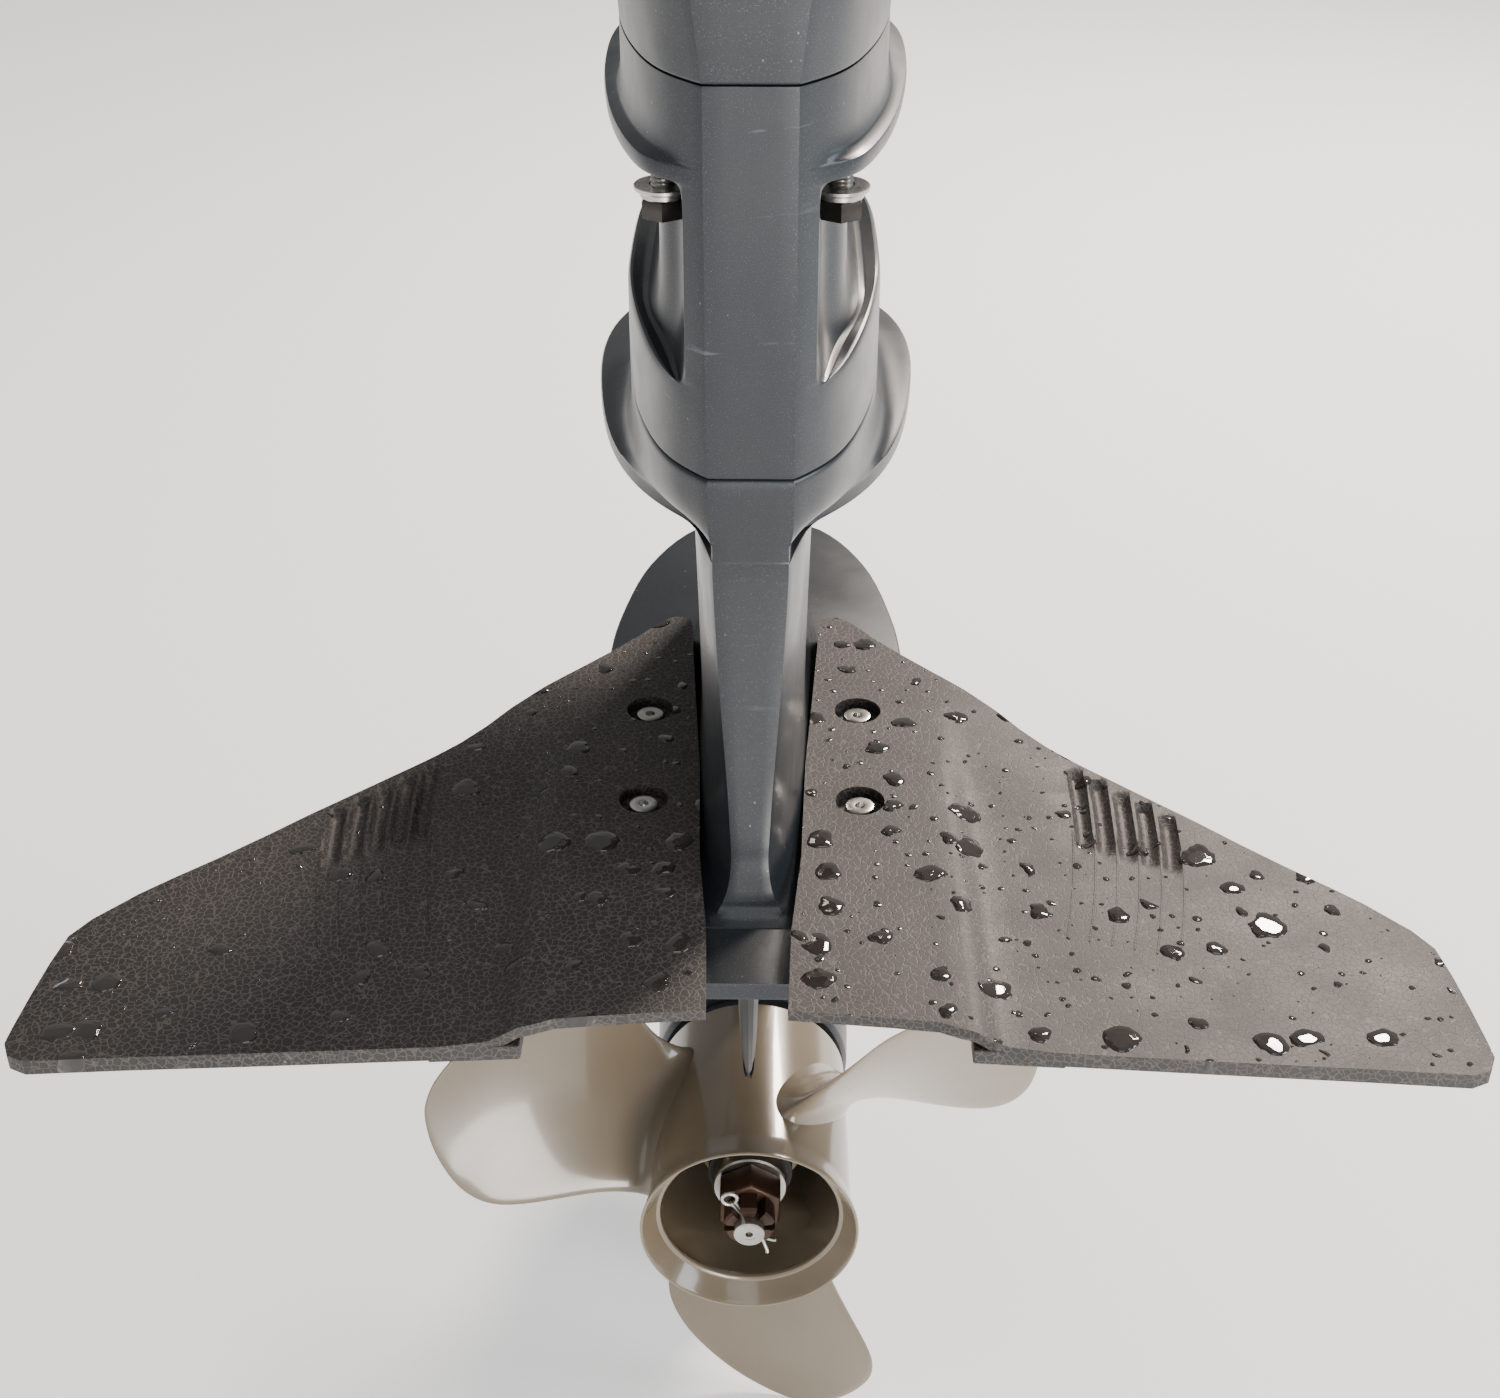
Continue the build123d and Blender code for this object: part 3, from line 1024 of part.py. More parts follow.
# ---------------------------------------------------------------- tiller
TILLER_Y, TILLER_Z = 10.0, 106.0
TILLER_HALF = 17.0
TILLER_PIN_R = 5.0
TILLER_END_Y = 330.0
GRIP_END_Y = 450.0
GRIP_R, GRIP_BORE_R = 18.0, 9.0
STOP_Y = TILLER_END_Y - 24.0
STOP_R = 8.0
with BuildPart() as tiller_bracket:
    block((-24, COWL_FRONT_Y, 90), (24, COWL_FRONT_Y + 10, 126))
    for side in (PORT, STARBOARD):
        low, high = sorted((side * (TILLER_HALF + CLEAR), side * 24))
        side_profile(
            [
                (COWL_FRONT_Y + 6, 90),
                (COWL_FRONT_Y + 6, 126),
                (TILLER_Y + 4, 122),
                (TILLER_Y + 16, TILLER_Z),
                (TILLER_Y + 4, 90),
            ],
            low,
            high,
        )
    rod((-30, TILLER_Y, TILLER_Z), RIGHT, TILLER_PIN_R, 60)
keep(tiller_bracket, "tiller_bracket")

with BuildPart() as tiller_arm:
    rod((-TILLER_HALF, TILLER_Y, TILLER_Z), RIGHT, 15, 2 * TILLER_HALF)
    with BuildSketch(Plane(origin=(0, TILLER_Y, TILLER_Z), x_dir=(1, 0, 0), z_dir=(0, 1, 0))):
        RectangleRounded(2 * TILLER_HALF, 28, 8)
    with BuildSketch(Plane(origin=(0, TILLER_END_Y, TILLER_Z), x_dir=(1, 0, 0), z_dir=(0, 1, 0))):
        RectangleRounded(30, 26, 8)
    loft()
    rod((0, TILLER_END_Y, TILLER_Z), FORWARD, GRIP_BORE_R, GRIP_END_Y - TILLER_END_Y - 6)
    rod((-30, TILLER_Y, TILLER_Z), RIGHT, TILLER_PIN_R + FIT, 60, Mode.SUBTRACT)
    # well for the stop button
    rod((0, STOP_Y, TILLER_Z + 2), UP, STOP_R + FIT, 30, Mode.SUBTRACT)
keep(tiller_arm, "tiller_arm")

with BuildPart() as throttle_grip:
    rod((0, TILLER_END_Y + 1, TILLER_Z), FORWARD, GRIP_R, GRIP_END_Y - TILLER_END_Y - 1)
    with BuildSketch(Plane(origin=(0, TILLER_END_Y + 12, TILLER_Z), x_dir=(1, 0, 0), z_dir=(0, 1, 0))):
        with PolarLocations(GRIP_R + 0.4, 18):
            Rectangle(2.4, 3)
    extrude(amount=96, mode=Mode.SUBTRACT)
    bore_l = GRIP_END_Y - TILLER_END_Y - 4
    rod((0, TILLER_END_Y, TILLER_Z), FORWARD, GRIP_BORE_R + FIT, bore_l, Mode.SUBTRACT)
keep(throttle_grip, "throttle_grip")

with BuildPart() as stop_button:
    rod((0, STOP_Y, TILLER_Z + 6), UP, STOP_R, 14)
    rod((0, STOP_Y, TILLER_Z + 17), UP, STOP_R + 3, 3)
keep(stop_button, "stop_button")

# ---------------------------------------------------------------- shift lever and rod
LEVER_REACH = 92.0
with BuildPart() as shift_lever:
    rod((90, LEVER_Y, LEVER_Z), RIGHT, LEVER_PIN_R, 38)
    rod((118, LEVER_Y, LEVER_Z), RIGHT, 13, 10)
    side_profile(
        [
            (LEVER_Y - 8, LEVER_Z),
            (LEVER_Y - 6, LEVER_Z + LEVER_REACH),
            (LEVER_Y + 6, LEVER_Z + LEVER_REACH),
            (LEVER_Y + 8, LEVER_Z),
        ],
        119,
        127,
    )
    rod((116, LEVER_Y, LEVER_Z + LEVER_REACH - 4), RIGHT, 12, 16)
keep(shift_lever, "shift_lever")

SHIFT_ROD_LOW_Z, SHIFT_ROD_TOP_Z = PROP_Z + 38.0, 84.0
with BuildPart() as shift_rod:
    rod((0, SHIFT_Y, SHIFT_ROD_LOW_Z), UP, SHIFT_ROD_R, SHIFT_ROD_TOP_Z - SHIFT_ROD_LOW_Z)
keep(shift_rod, "shift_rod")
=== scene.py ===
"""Outboard motor: the finished looks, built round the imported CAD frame.

Metres, +Z up, +Y forward, +X starboard. Tables are in millimetres and are scaled by MM.
"""

import json
import math

import bmesh
import bpy
from mathutils import Euler, Matrix, Vector


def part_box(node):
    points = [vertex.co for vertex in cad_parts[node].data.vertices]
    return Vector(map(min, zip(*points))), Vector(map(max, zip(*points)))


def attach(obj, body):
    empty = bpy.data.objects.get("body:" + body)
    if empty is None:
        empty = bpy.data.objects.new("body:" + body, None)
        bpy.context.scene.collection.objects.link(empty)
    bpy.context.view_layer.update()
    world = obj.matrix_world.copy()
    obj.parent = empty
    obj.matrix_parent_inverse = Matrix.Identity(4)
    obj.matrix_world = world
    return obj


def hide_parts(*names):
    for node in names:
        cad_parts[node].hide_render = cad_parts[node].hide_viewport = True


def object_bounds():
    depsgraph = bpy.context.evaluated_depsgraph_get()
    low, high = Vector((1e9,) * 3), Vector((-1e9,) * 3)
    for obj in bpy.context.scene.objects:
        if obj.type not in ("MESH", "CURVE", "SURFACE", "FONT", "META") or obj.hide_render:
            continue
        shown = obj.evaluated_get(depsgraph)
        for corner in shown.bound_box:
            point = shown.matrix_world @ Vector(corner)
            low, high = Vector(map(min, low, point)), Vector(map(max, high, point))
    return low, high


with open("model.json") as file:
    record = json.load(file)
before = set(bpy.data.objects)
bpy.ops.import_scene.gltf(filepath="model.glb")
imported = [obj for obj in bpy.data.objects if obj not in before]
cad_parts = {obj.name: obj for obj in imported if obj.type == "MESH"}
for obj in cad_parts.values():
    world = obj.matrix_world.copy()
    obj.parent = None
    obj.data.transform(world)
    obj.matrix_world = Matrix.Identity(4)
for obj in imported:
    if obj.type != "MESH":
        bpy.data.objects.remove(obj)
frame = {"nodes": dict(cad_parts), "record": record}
cad_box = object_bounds()

MM = 0.001
STARBOARD, FORWARD, UP = (1, 0, 0), (0, 1, 0), (0, 0, 1)

# ---------------------------------------------------------------- places taken from the frame
housing_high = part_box("drive_shaft_housing")[1]
extension_low, extension_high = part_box("extension_case")
shaft_low, shaft_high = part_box("propeller_shaft")

PROP_Z = (shaft_low[2] + shaft_high[2]) / 2
UPPER_JOINT_Z = extension_high[2]
LOWER_JOINT_Z = extension_low[2]
SPINE_Y = extension_low[1]
PLATE_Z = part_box("foil_nuts")[1][2] + 7 * MM  # the foil nuts sit against the plate's underside


def ahead(mm):
    """Y of a point that many millimetres ahead of the spine's rear face."""
    return SPINE_Y + mm * MM


def above(mm):
    """Z of a point that many millimetres above the top of the anti-ventilation plate."""
    return PLATE_Z + mm * MM


def spot(x, y, z):
    """A point from millimetres to starboard, ahead of the spine's rear face and above the plate."""
    return Vector((x * MM, ahead(y), above(z)))


# ---------------------------------------------------------------- camera, floor and light
CAMERA_SENSOR, CAMERA_LENS = 36.0, 48.0
CAMERA_X, CAMERA_AHEAD, CAMERA_ABOVE = 8, -586, 447
CAMERA_DOWN, CAMERA_YAW = 32.4, 0.8


def add_camera():
    """The camera behind, above and a little to starboard, looking down at the lower unit."""
    data = bpy.data.cameras.new("camera")
    data.sensor_width = CAMERA_SENSOR
    data.lens = CAMERA_LENS
    data.clip_start, data.clip_end = 0.01, 50.0
    camera = bpy.data.objects.new("camera", data)
    camera.location = spot(CAMERA_X, CAMERA_AHEAD, CAMERA_ABOVE)
    camera.rotation_euler = Euler((math.radians(90 - CAMERA_DOWN), 0.0, math.radians(CAMERA_YAW)))
    bpy.context.scene.collection.objects.link(camera)
    bpy.context.scene.camera = camera


def add_area_light(name, place, target, size, power, colour):
    """A soft square light aimed at a point."""
    data = bpy.data.lights.new(name, "AREA")
    data.shape = "SQUARE"
    data.size = size
    data.energy = power
    data.color = colour
    light = bpy.data.objects.new(name, data)
    light.location = place
    aim = Vector(target) - Vector(place)
    light.rotation_euler = aim.to_track_quat("-Z", "Y").to_euler()
    bpy.context.scene.collection.objects.link(light)


# ---------------------------------------------------------------- materials
def node_material(name):
    """A new material and its node tree."""
    material = bpy.data.materials.new(name)
    material.use_nodes = True
    return material, material.node_tree


def feed(tree, socket, value):
    """Links a socket to another one, or gives it a value; a colour gets its alpha."""
    if isinstance(value, bpy.types.NodeSocket):
        tree.links.new(value, socket)
    elif socket.type == "RGBA":
        socket.default_value = (*value, 1)
    else:
        socket.default_value = value


def finished(material, inputs):
    """Sets or links the inputs of the material's shader, and hands the material back."""
    shader = material.node_tree.nodes["Principled BSDF"]
    for key, value in inputs.items():
        feed(material.node_tree, shader.inputs[key], value)
    return material


def add_node(tree, kind, inputs=None, **settings):
    """Adds a node, sets its properties and then its input values or links."""
    node = tree.nodes.new(kind)
    for key, value in settings.items():
        setattr(node, key, value)
    for key, value in (inputs or {}).items():
        feed(tree, node.inputs[key], value)
    return node


def ramp(tree, factor, *stops):
    """A colour ramp from (position, colour or grey value) stops."""
    node = add_node(tree, "ShaderNodeValToRGB", {"Fac": factor})
    elements = node.color_ramp.elements
    while len(elements) < len(stops):
        elements.new(0.5)
    for element, (position, value) in zip(elements, stops):
        element.position = position
        element.color = (value, value, value, 1) if isinstance(value, float) else (*value, 1)
    return node.outputs["Color"]


def noise(tree, scale, detail=3.0, roughness=0.5):
    """Noise on the object's own coordinates."""
    place = add_node(tree, "ShaderNodeTexCoord").outputs["Object"]
    inputs = {"Vector": place, "Scale": scale, "Detail": detail, "Roughness": roughness}
    return add_node(tree, "ShaderNodeTexNoise", inputs).outputs["Fac"]


def mix(tree, factor, first, second):
    """Mixes two colours."""
    inputs = {"Factor": factor, "A": first, "B": second}
    return add_node(tree, "ShaderNodeMix", inputs, data_type="RGBA").outputs["Result"]


def math_node(tree, operation, first, second=0.0):
    """One arithmetic step."""
    return add_node(tree, "ShaderNodeMath", {0: first, 1: second}, operation=operation).outputs["Value"]


def uneven(tree, scale, detail, spread, least):
    """A value that wanders with noise, from the least one up through a spread."""
    inputs = {0: noise(tree, scale, detail), 1: spread, 2: least}
    return add_node(tree, "ShaderNodeMath", inputs, operation="MULTIPLY_ADD").outputs["Value"]


def bump(tree, height, distance_mm, strength=1.0, under=None):
    """A bump of that many millimetres, on top of another bump if given."""
    inputs = {"Height": height, "Distance": distance_mm * MM, "Strength": strength}
    if under is not None:
        inputs["Normal"] = under
    return add_node(tree, "ShaderNodeBump", inputs).outputs["Normal"]


def casing_paint(name, colour, warm, gloss=0.36):
    """Satin marine paint: broad tone changes, fine flake, salt specks, rubs and light scratches."""
    material, tree = node_material(name)
    broad = ramp(tree, noise(tree, 9.0, 4.0), (0.35, 0.0), (0.7, 1.0))
    base = mix(tree, broad, colour, warm)
    flake = ramp(tree, noise(tree, 2600.0, 1.0), (0.62, 0.0), (0.75, 1.0))
    base = mix(tree, math_node(tree, "MULTIPLY", flake, 0.16), base, (0.42, 0.46, 0.5))
    place = add_node(tree, "ShaderNodeTexCoord").outputs["Object"]
    specks = add_node(tree, "ShaderNodeTexVoronoi", {"Vector": place, "Scale": 210.0, "Randomness": 1.0})
    speck = ramp(tree, specks.outputs["Distance"], (0.05, 1.0), (0.1, 0.0))
    patchy = ramp(tree, noise(tree, 22.0, 2.0), (0.52, 0.0), (0.66, 1.0))
    speck = math_node(tree, "MULTIPLY", speck, patchy)
    base = mix(tree, math_node(tree, "MULTIPLY", speck, 0.35), base, (0.62, 0.66, 0.68))
    stretch = {"Vector": place, "Scale": (30.0, 30.0, 260.0), "Rotation": (0.5, 0.3, 0.0)}
    stretched = add_node(tree, "ShaderNodeMapping", stretch).outputs["Vector"]
    scratch = add_node(tree, "ShaderNodeTexNoise", {"Vector": stretched, "Scale": 1.0, "Detail": 5.0})
    scuff = ramp(tree, scratch.outputs["Fac"], (0.64, 0.0), (0.7, 1.0))
    rubbed = ramp(tree, noise(tree, 13.0, 2.0), (0.56, 0.0), (0.68, 1.0))
    scuff = math_node(tree, "MULTIPLY", scuff, rubbed)
    base = mix(tree, math_node(tree, "MULTIPLY", scuff, 0.35), base, (0.3, 0.33, 0.36))
    rough = uneven(tree, 60.0, 4.0, 0.22, gloss - 0.08)
    rough = math_node(tree, "ADD", rough, math_node(tree, "MULTIPLY", scuff, 0.2))
    peel = bump(tree, noise(tree, 420.0, 2.0), 0.02)
    return finished(material, {
        "Base Color": base, "Roughness": rough, "Metallic": 0.2, "Coat Weight": 0.2, "Coat Roughness": 0.18,
        "Normal": bump(tree, speck, 0.02, under=peel),
    })


def shaken(tree, place, scale, reach_mm):
    """Coordinates pushed about by noise, so that what follows them is irregular."""
    wobble = add_node(tree, "ShaderNodeTexNoise", {"Vector": place, "Scale": scale, "Detail": 2.0})
    shift = wobble.outputs["Color"]
    steps = (("SUBTRACT", {1: (0.5, 0.5, 0.5)}), ("SCALE", {"Scale": reach_mm * MM}), ("ADD", {1: place}))
    for operation, inputs in steps:
        node = add_node(tree, "ShaderNodeVectorMath", {0: shift, **inputs}, operation=operation)
        shift = node.outputs["Vector"]
    return shift


def water_drops(tree, place, scale, largest, fewer):
    """How far inside a drop each point is: drops of many sizes, one at most in each cell."""
    inputs = {"Vector": place, "Scale": scale}
    cells = add_node(tree, "ShaderNodeTexVoronoi", inputs, voronoi_dimensions="2D")
    tone = add_node(tree, "ShaderNodeRGBToBW", {"Color": cells.outputs["Color"]}).outputs["Val"]
    reach = math_node(tree, "SUBTRACT", largest, math_node(tree, "MULTIPLY", tone, fewer))
    return math_node(tree, "SUBTRACT", reach, cells.outputs["Distance"])


def foil_plastic():
    """Black moulded plastic with a leather-like pebble grain, painted glints along the grain's cell edges,
    and water standing on it in drops.
    """
    material, tree = node_material("foil_plastic")
    place = add_node(tree, "ShaderNodeTexCoord").outputs["Object"]
    cells = add_node(
        tree, "ShaderNodeTexVoronoi", {"Vector": shaken(tree, place, 240.0, 2.6), "Scale": 400.0},
        feature="DISTANCE_TO_EDGE",
    )
    # Mask of the grain's cell edges: it raises the grain's bump and also carries a painted highlight.
    grain_and_glints = ramp(tree, cells.outputs["Distance"], (0.02, 0.0), (0.09, 1.0))
    tone = ramp(tree, noise(tree, 11.0, 3.0), (0.3, (0.010, 0.008, 0.007)), (0.75, (0.024, 0.018, 0.015)))
    # The pale colour on the cell edges is a painted highlight, standing for glints along the grain's
    # ridges; the cells keep the plastic's own dark tone.
    base = mix(tree, grain_and_glints, (0.085, 0.070, 0.060), tone)
    drop = water_drops(tree, shaken(tree, place, 95.0, 9.0), 50.0, 0.36, 0.46)
    bead = water_drops(tree, shaken(tree, place, 190.0, 3.0), 135.0, 0.26, 0.5)
    under_drop = ramp(tree, drop, (0.0, 0.0), (0.012, 1.0))
    wet = math_node(tree, "MAXIMUM", under_drop, ramp(tree, bead, (0.0, 0.0), (0.02, 1.0)))
    dome = math_node(
        tree, "MAXIMUM", ramp(tree, drop, (0.0, 0.0), (0.02, 0.4), (0.06, 0.75), (0.15, 1.0)),
        ramp(tree, bead, (0.0, 0.0), (0.03, 0.2), (0.15, 0.4)),
    )
    base = mix(tree, wet, base, (0.034, 0.027, 0.023))
    dry = math_node(tree, "SUBTRACT", 1.0, wet)
    rough = math_node(tree, "MULTIPLY", uneven(tree, 40.0, 3.0, 0.16, 0.46), dry)
    grained = bump(tree, math_node(tree, "MULTIPLY", grain_and_glints, dry), 0.05)
    return finished(material, {
        "Base Color": base, "Roughness": math_node(tree, "ADD", rough, 0.05), "Specular IOR Level": 0.75,
        "Normal": bump(tree, dome, 1.3, under=grained),
    })


def propeller_enamel():
    """Glossy warm beige-grey enamel with faint flow marks."""
    material, tree = node_material("propeller_paint")
    tone = ramp(tree, noise(tree, 12.0, 3.0), (0.3, (0.21, 0.165, 0.11)), (0.75, (0.27, 0.22, 0.155)))
    stain = ramp(tree, noise(tree, 60.0, 5.0), (0.62, 0.0), (0.78, 1.0))
    base = mix(tree, math_node(tree, "MULTIPLY", stain, 0.18), tone, (0.2, 0.165, 0.12))
    return finished(material, {
        "Base Color": base, "Roughness": uneven(tree, 35.0, 3.0, 0.16, 0.16), "Coat Weight": 0.6,
        "Coat Roughness": 0.08, "Normal": bump(tree, noise(tree, 90.0, 2.0), 0.03),
    })


def metal(name, colour, dark, roughness, grain_and_glints=700.0, metallic=1.0, bump_mm=0.01):
    """Bare or plated metal with tone changes, stains in the grain and a little texture."""
    material, tree = node_material(name)
    tone = ramp(tree, noise(tree, 45.0, 5.0, 0.6), (0.32, dark), (0.68, colour))
    return finished(material, {
        "Base Color": tone, "Roughness": uneven(tree, grain_and_glints / 4, 4.0, 0.24, roughness - 0.12),
        "Metallic": metallic, "Normal": bump(tree, noise(tree, grain_and_glints, 2.0), bump_mm),
    })


def plain_moulding(name, colour, pale, roughness, grain_and_glints=500.0, bump_mm=0.03):
    """Plastic or rubber with a fine moulded texture."""
    material, tree = node_material(name)
    tone = ramp(tree, noise(tree, 25.0, 4.0), (0.3, colour), (0.8, pale))
    return finished(material, {
        "Base Color": tone, "Roughness": uneven(tree, 120.0, 3.0, 0.18, roughness - 0.09),
        "Normal": bump(tree, noise(tree, grain_and_glints, 2.0), bump_mm),
    })


def studio_floor():
    """Plain pale floor paint."""
    material, tree = node_material("studio_floor")
    tone = ramp(tree, noise(tree, 0.6, 2.0), (0.3, (0.86, 0.86, 0.86)), (0.7, (0.88, 0.88, 0.88)))
    return finished(
        material,
        {"Base Color": tone, "Roughness": 0.9, "Emission Color": (1, 1, 1), "Emission Strength": 0.62},
    )


FINISH = {
    "casing_paint": casing_paint("casing_paint", (0.010, 0.016, 0.022), (0.021, 0.024, 0.028)),
    "cowl_paint": casing_paint("cowl_paint", (0.015, 0.020, 0.027), (0.022, 0.028, 0.036), 0.26),
    "foil_plastic": foil_plastic(),
    "black_plastic": plain_moulding("black_plastic", (0.012, 0.012, 0.013), (0.028, 0.028, 0.029), 0.45),
    "propeller_paint": propeller_enamel(),
    "stainless": metal("stainless", (0.66, 0.65, 0.62), (0.36, 0.34, 0.31), 0.3),
    "dark_steel": metal("dark_steel", (0.10, 0.092, 0.086), (0.045, 0.04, 0.037), 0.42),
    "brown_nut": metal(
        "brown_nut", (0.085, 0.045, 0.028), (0.035, 0.02, 0.014), 0.42, metallic=0.55, bump_mm=0.05
    ),
    "cast_aluminium": metal(
        "cast_aluminium", (0.5, 0.5, 0.5), (0.32, 0.32, 0.33), 0.5, grain_and_glints=420.0, bump_mm=0.08
    ),
    "rubber": plain_moulding("rubber", (0.012, 0.012, 0.012), (0.024, 0.024, 0.024), 0.7),
    "nylon": plain_moulding("nylon", (0.62, 0.60, 0.54), (0.7, 0.68, 0.62), 0.4),
    "red_plastic": plain_moulding("red_plastic", (0.42, 0.02, 0.015), (0.5, 0.035, 0.025), 0.28),
}


# ---------------------------------------------------------------- mesh helpers
def verts_of(geometry):
    """The vertices among what an operator returned."""
    return [item for item in geometry if isinstance(item, bmesh.types.BMVert)]


def thicken(bm, points, along):
    """Draws a face through points and extrudes it into a solid along a vector, all in metres."""
    face = bm.faces.new([bm.verts.new(point) for point in points])
    made = bmesh.ops.extrude_face_region(bm, geom=[face])["geom"]
    bmesh.ops.translate(bm, verts=verts_of(made), vec=along)


def both_sides(points):
    """A starboard half outline from centre to centre, joined with its mirror image."""
    return points + [(-x, *rest) for x, *rest in points[-2:0:-1]]


def squared(value, power):
    """A sine or cosine raised to a power with its sign kept; low powers make a circle squarer."""
    return math.copysign(abs(value) ** power, value)


def loft(bm, rings, closed=True):
    """Skins a tube through rings of points: the first is drawn, each next one is extruded and moved."""
    verts = [bm.verts.new(point) for point in rings[0]]
    edges = [bm.edges.new((verts[i], verts[(i + 1) % len(verts)])) for i in range(len(verts))]
    if closed:
        bmesh.ops.contextual_create(bm, geom=edges)
    for ring in rings[1:]:
        made = bmesh.ops.extrude_edge_only(bm, edges=edges)["geom"]
        fresh = set(verts_of(made))
        edges = [item for item in made if isinstance(item, bmesh.types.BMEdge)]
        edges = [edge for edge in edges if set(edge.verts) <= fresh]
        following = []
        for vert in verts:
            partner = next(e.other_vert(vert) for e in vert.link_edges if e.other_vert(vert) in fresh)
            following.append(partner)
        for vert, point in zip(following, ring):
            vert.co = point
        verts = following
    if closed:
        bmesh.ops.contextual_create(bm, geom=edges)


def revolve(bm, profile, centre, axis, steps=48):
    """Spins a profile of (radius, distance along) points, in millimetres, round an axis."""
    axis = Vector(axis).normalized()
    side = axis.orthogonal().normalized()
    points = [Vector(centre) + side * radius * MM + axis * along * MM for radius, along in profile]
    verts = [bm.verts.new(point) for point in points]
    edges = [bm.edges.new(pair) for pair in zip(verts, verts[1:])]
    bmesh.ops.spin(
        bm, geom=verts + edges, cent=centre, axis=axis, angle=math.tau, steps=steps, use_merge=True,
        use_duplicate=False,
    )
    bmesh.ops.remove_doubles(bm, verts=bm.verts[:], dist=1e-6)


def side_plate(bm, outline, x_low, x_high):
    """A flat plate from an outline of (y, z) points, between two x values, all in millimetres."""
    points = [(x_low * MM, y * MM, z * MM) for y, z in outline]
    thicken(bm, points, ((x_high - x_low) * MM, 0, 0))


def piece(bm, name, body, finish, nodes=(), sharp=32.0, rounding=0.0, segments=2, levels=0):
    """Turns a bmesh into a finished piece that rides on a body and stands for CAD nodes."""
    bmesh.ops.recalc_face_normals(bm, faces=bm.faces[:])
    mesh = bpy.data.meshes.new(name)
    bm.to_mesh(mesh)
    bm.free()
    mesh.shade_smooth()
    mesh.set_sharp_from_angle(angle=math.radians(sharp))
    mesh.materials.append(FINISH[finish])
    made = bpy.data.objects.new(name, mesh)
    bpy.context.scene.collection.objects.link(made)
    if rounding:
        bevel = made.modifiers.new("rounding", "BEVEL")
        bevel.width = rounding * MM
        bevel.segments = segments
        bevel.limit_method = "ANGLE"
        bevel.angle_limit = math.radians(sharp)
        bevel.harden_normals = True
    if levels:
        smooth = made.modifiers.new("smooth", "SUBSURF")
        smooth.levels = smooth.render_levels = levels
    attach(made, body)
    if nodes:
        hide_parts(*nodes)
    return made


def crease(bm, angle, amount=1.0):
    """Marks the edges that are sharper than an angle, so that the smoothing keeps them crisp."""
    layer = bm.edges.layers.float.get("crease_edge") or bm.edges.layers.float.new("crease_edge")
    for edge in bm.edges:
        if len(edge.link_faces) == 2 and edge.calc_face_angle(0.0) > math.radians(angle):
            edge[layer] = amount


# ---------------------------------------------------------------- midsection outlines
NOSE_FROM = 140.0
NOSE_POWER = 2.3
REAR_FLAT = 14.5
CASE_HALF, CASE_WIDEST = 45, 100.0
# starboard side of the full section, (x, ahead), from the edge of the rear flat to the widest place
CASE_SIDE = [
    (21, 7), (26, 13.5), (30.5, 22), (34.5, 33), (38, 46), (41, 60), (43.3, 75), (44.6, 88), (45, 100),
]
NOSE_STEPS = (0, 0.3, 0.55, 0.74, 0.87, 0.96)


def case_half(half=CASE_HALF, flat=REAR_FLAT, rear=0.0, front=210.0):
    """Starboard half of a midsection outline, as (x, ahead), from the rear centre to the nose."""
    points = [(0, rear), (flat, rear)]
    for x, y in CASE_SIDE:
        share = (x - REAR_FLAT) / (CASE_HALF - REAR_FLAT)
        points.append((flat + (half - flat) * share, rear + y * (CASE_WIDEST - rear) / CASE_WIDEST))
    for share in NOSE_STEPS:
        wide = (1 - share ** NOSE_POWER) ** (1 / NOSE_POWER)
        points.append((half * wide, NOSE_FROM + (front - NOSE_FROM) * share))
    return points + [(0, front)]


WAIST_HALF = 31.5
WAIST_REAR = [(21, 12), (21, 22), (21.3, 32), (23.5, 39), (27.5, 43), (30.5, 49), (31.5, 60), (31.5, 95)]
WING_REAR = [(28, 11.5), (34, 17), (39, 31), (43.5, 48), (47, 66), (49.5, 84), (51.5, 103), (53, 121)]
WING_NOSE = [(54, 150), (53, 172), (49, 191), (41, 206), (28, 218), (14, 223), (0, 225)]
SPLASH_HALF = [
    (0, 0), (13, 0), (13.3, 14), (15.5, 24.5), (22, 30), (29, 37), (39, 50.5), (48.5, 70.5), (55, 94),
    (59, 122), (61.5, 150), (62, 170), (60.5, 190), (56, 210), (46, 229), (31, 241), (16, 247),
    (0, 249),
]


def waist_half():
    """Starboard half of the extension's waist: spine, bolt recess beside it and inner column."""
    full = case_half()
    nose = [(x * WAIST_HALF / CASE_HALF, y - 4.0 * (y - NOSE_FROM) / 70) for x, y in full[11:]]
    return full[:3] + WAIST_REAR + nose


def wing_half():
    """Starboard half of the upper splash wing at the foot of the flange."""
    return case_half()[:3] + WING_REAR + WING_NOSE


def whole_ring(half, heights):
    """Both sides of a half outline at a height for each of its points."""
    return both_sides([spot(x, y, z) for (x, y), z in zip(half, heights)])


def between(first, second, share, spared=3):
    """A half outline part of the way from one to the other; the first few points, on the spine, stay."""
    made = list(first[:spared])
    for (x0, y0), (x1, y1) in zip(first[spared:], second[spared:]):
        made.append((x0 + (x1 - x0) * share, y0 + (y1 - y0) * share))
    return made


def level(half, height):
    """The same height for every point of an outline."""
    return [height] * len(half)


JOINT_LINE = 0.7  # height and depth of the dark line where castings meet


def plate_ring(edge, height, grow=0.0):
    """Ring of a flat plate from (half width, ahead) points, moved outwards by grow."""
    points = []
    for index, (x, y) in enumerate(edge):
        before, after = Vector(edge[max(index - 1, 0)]), Vector(edge[min(index + 1, len(edge) - 1)])
        along = (after - before).normalized()
        points.append((x + along.y * grow, y - along.x * grow))
    points[-1] = (0, edge[-1][1] + grow)
    ring = [spot(x, y, height) for x, y in points]
    rest = ring[:-1] if points[0][0] > 0 else ring[1:-1]
    return ring + [(-x, y, z) for x, y, z in rest[::-1]]


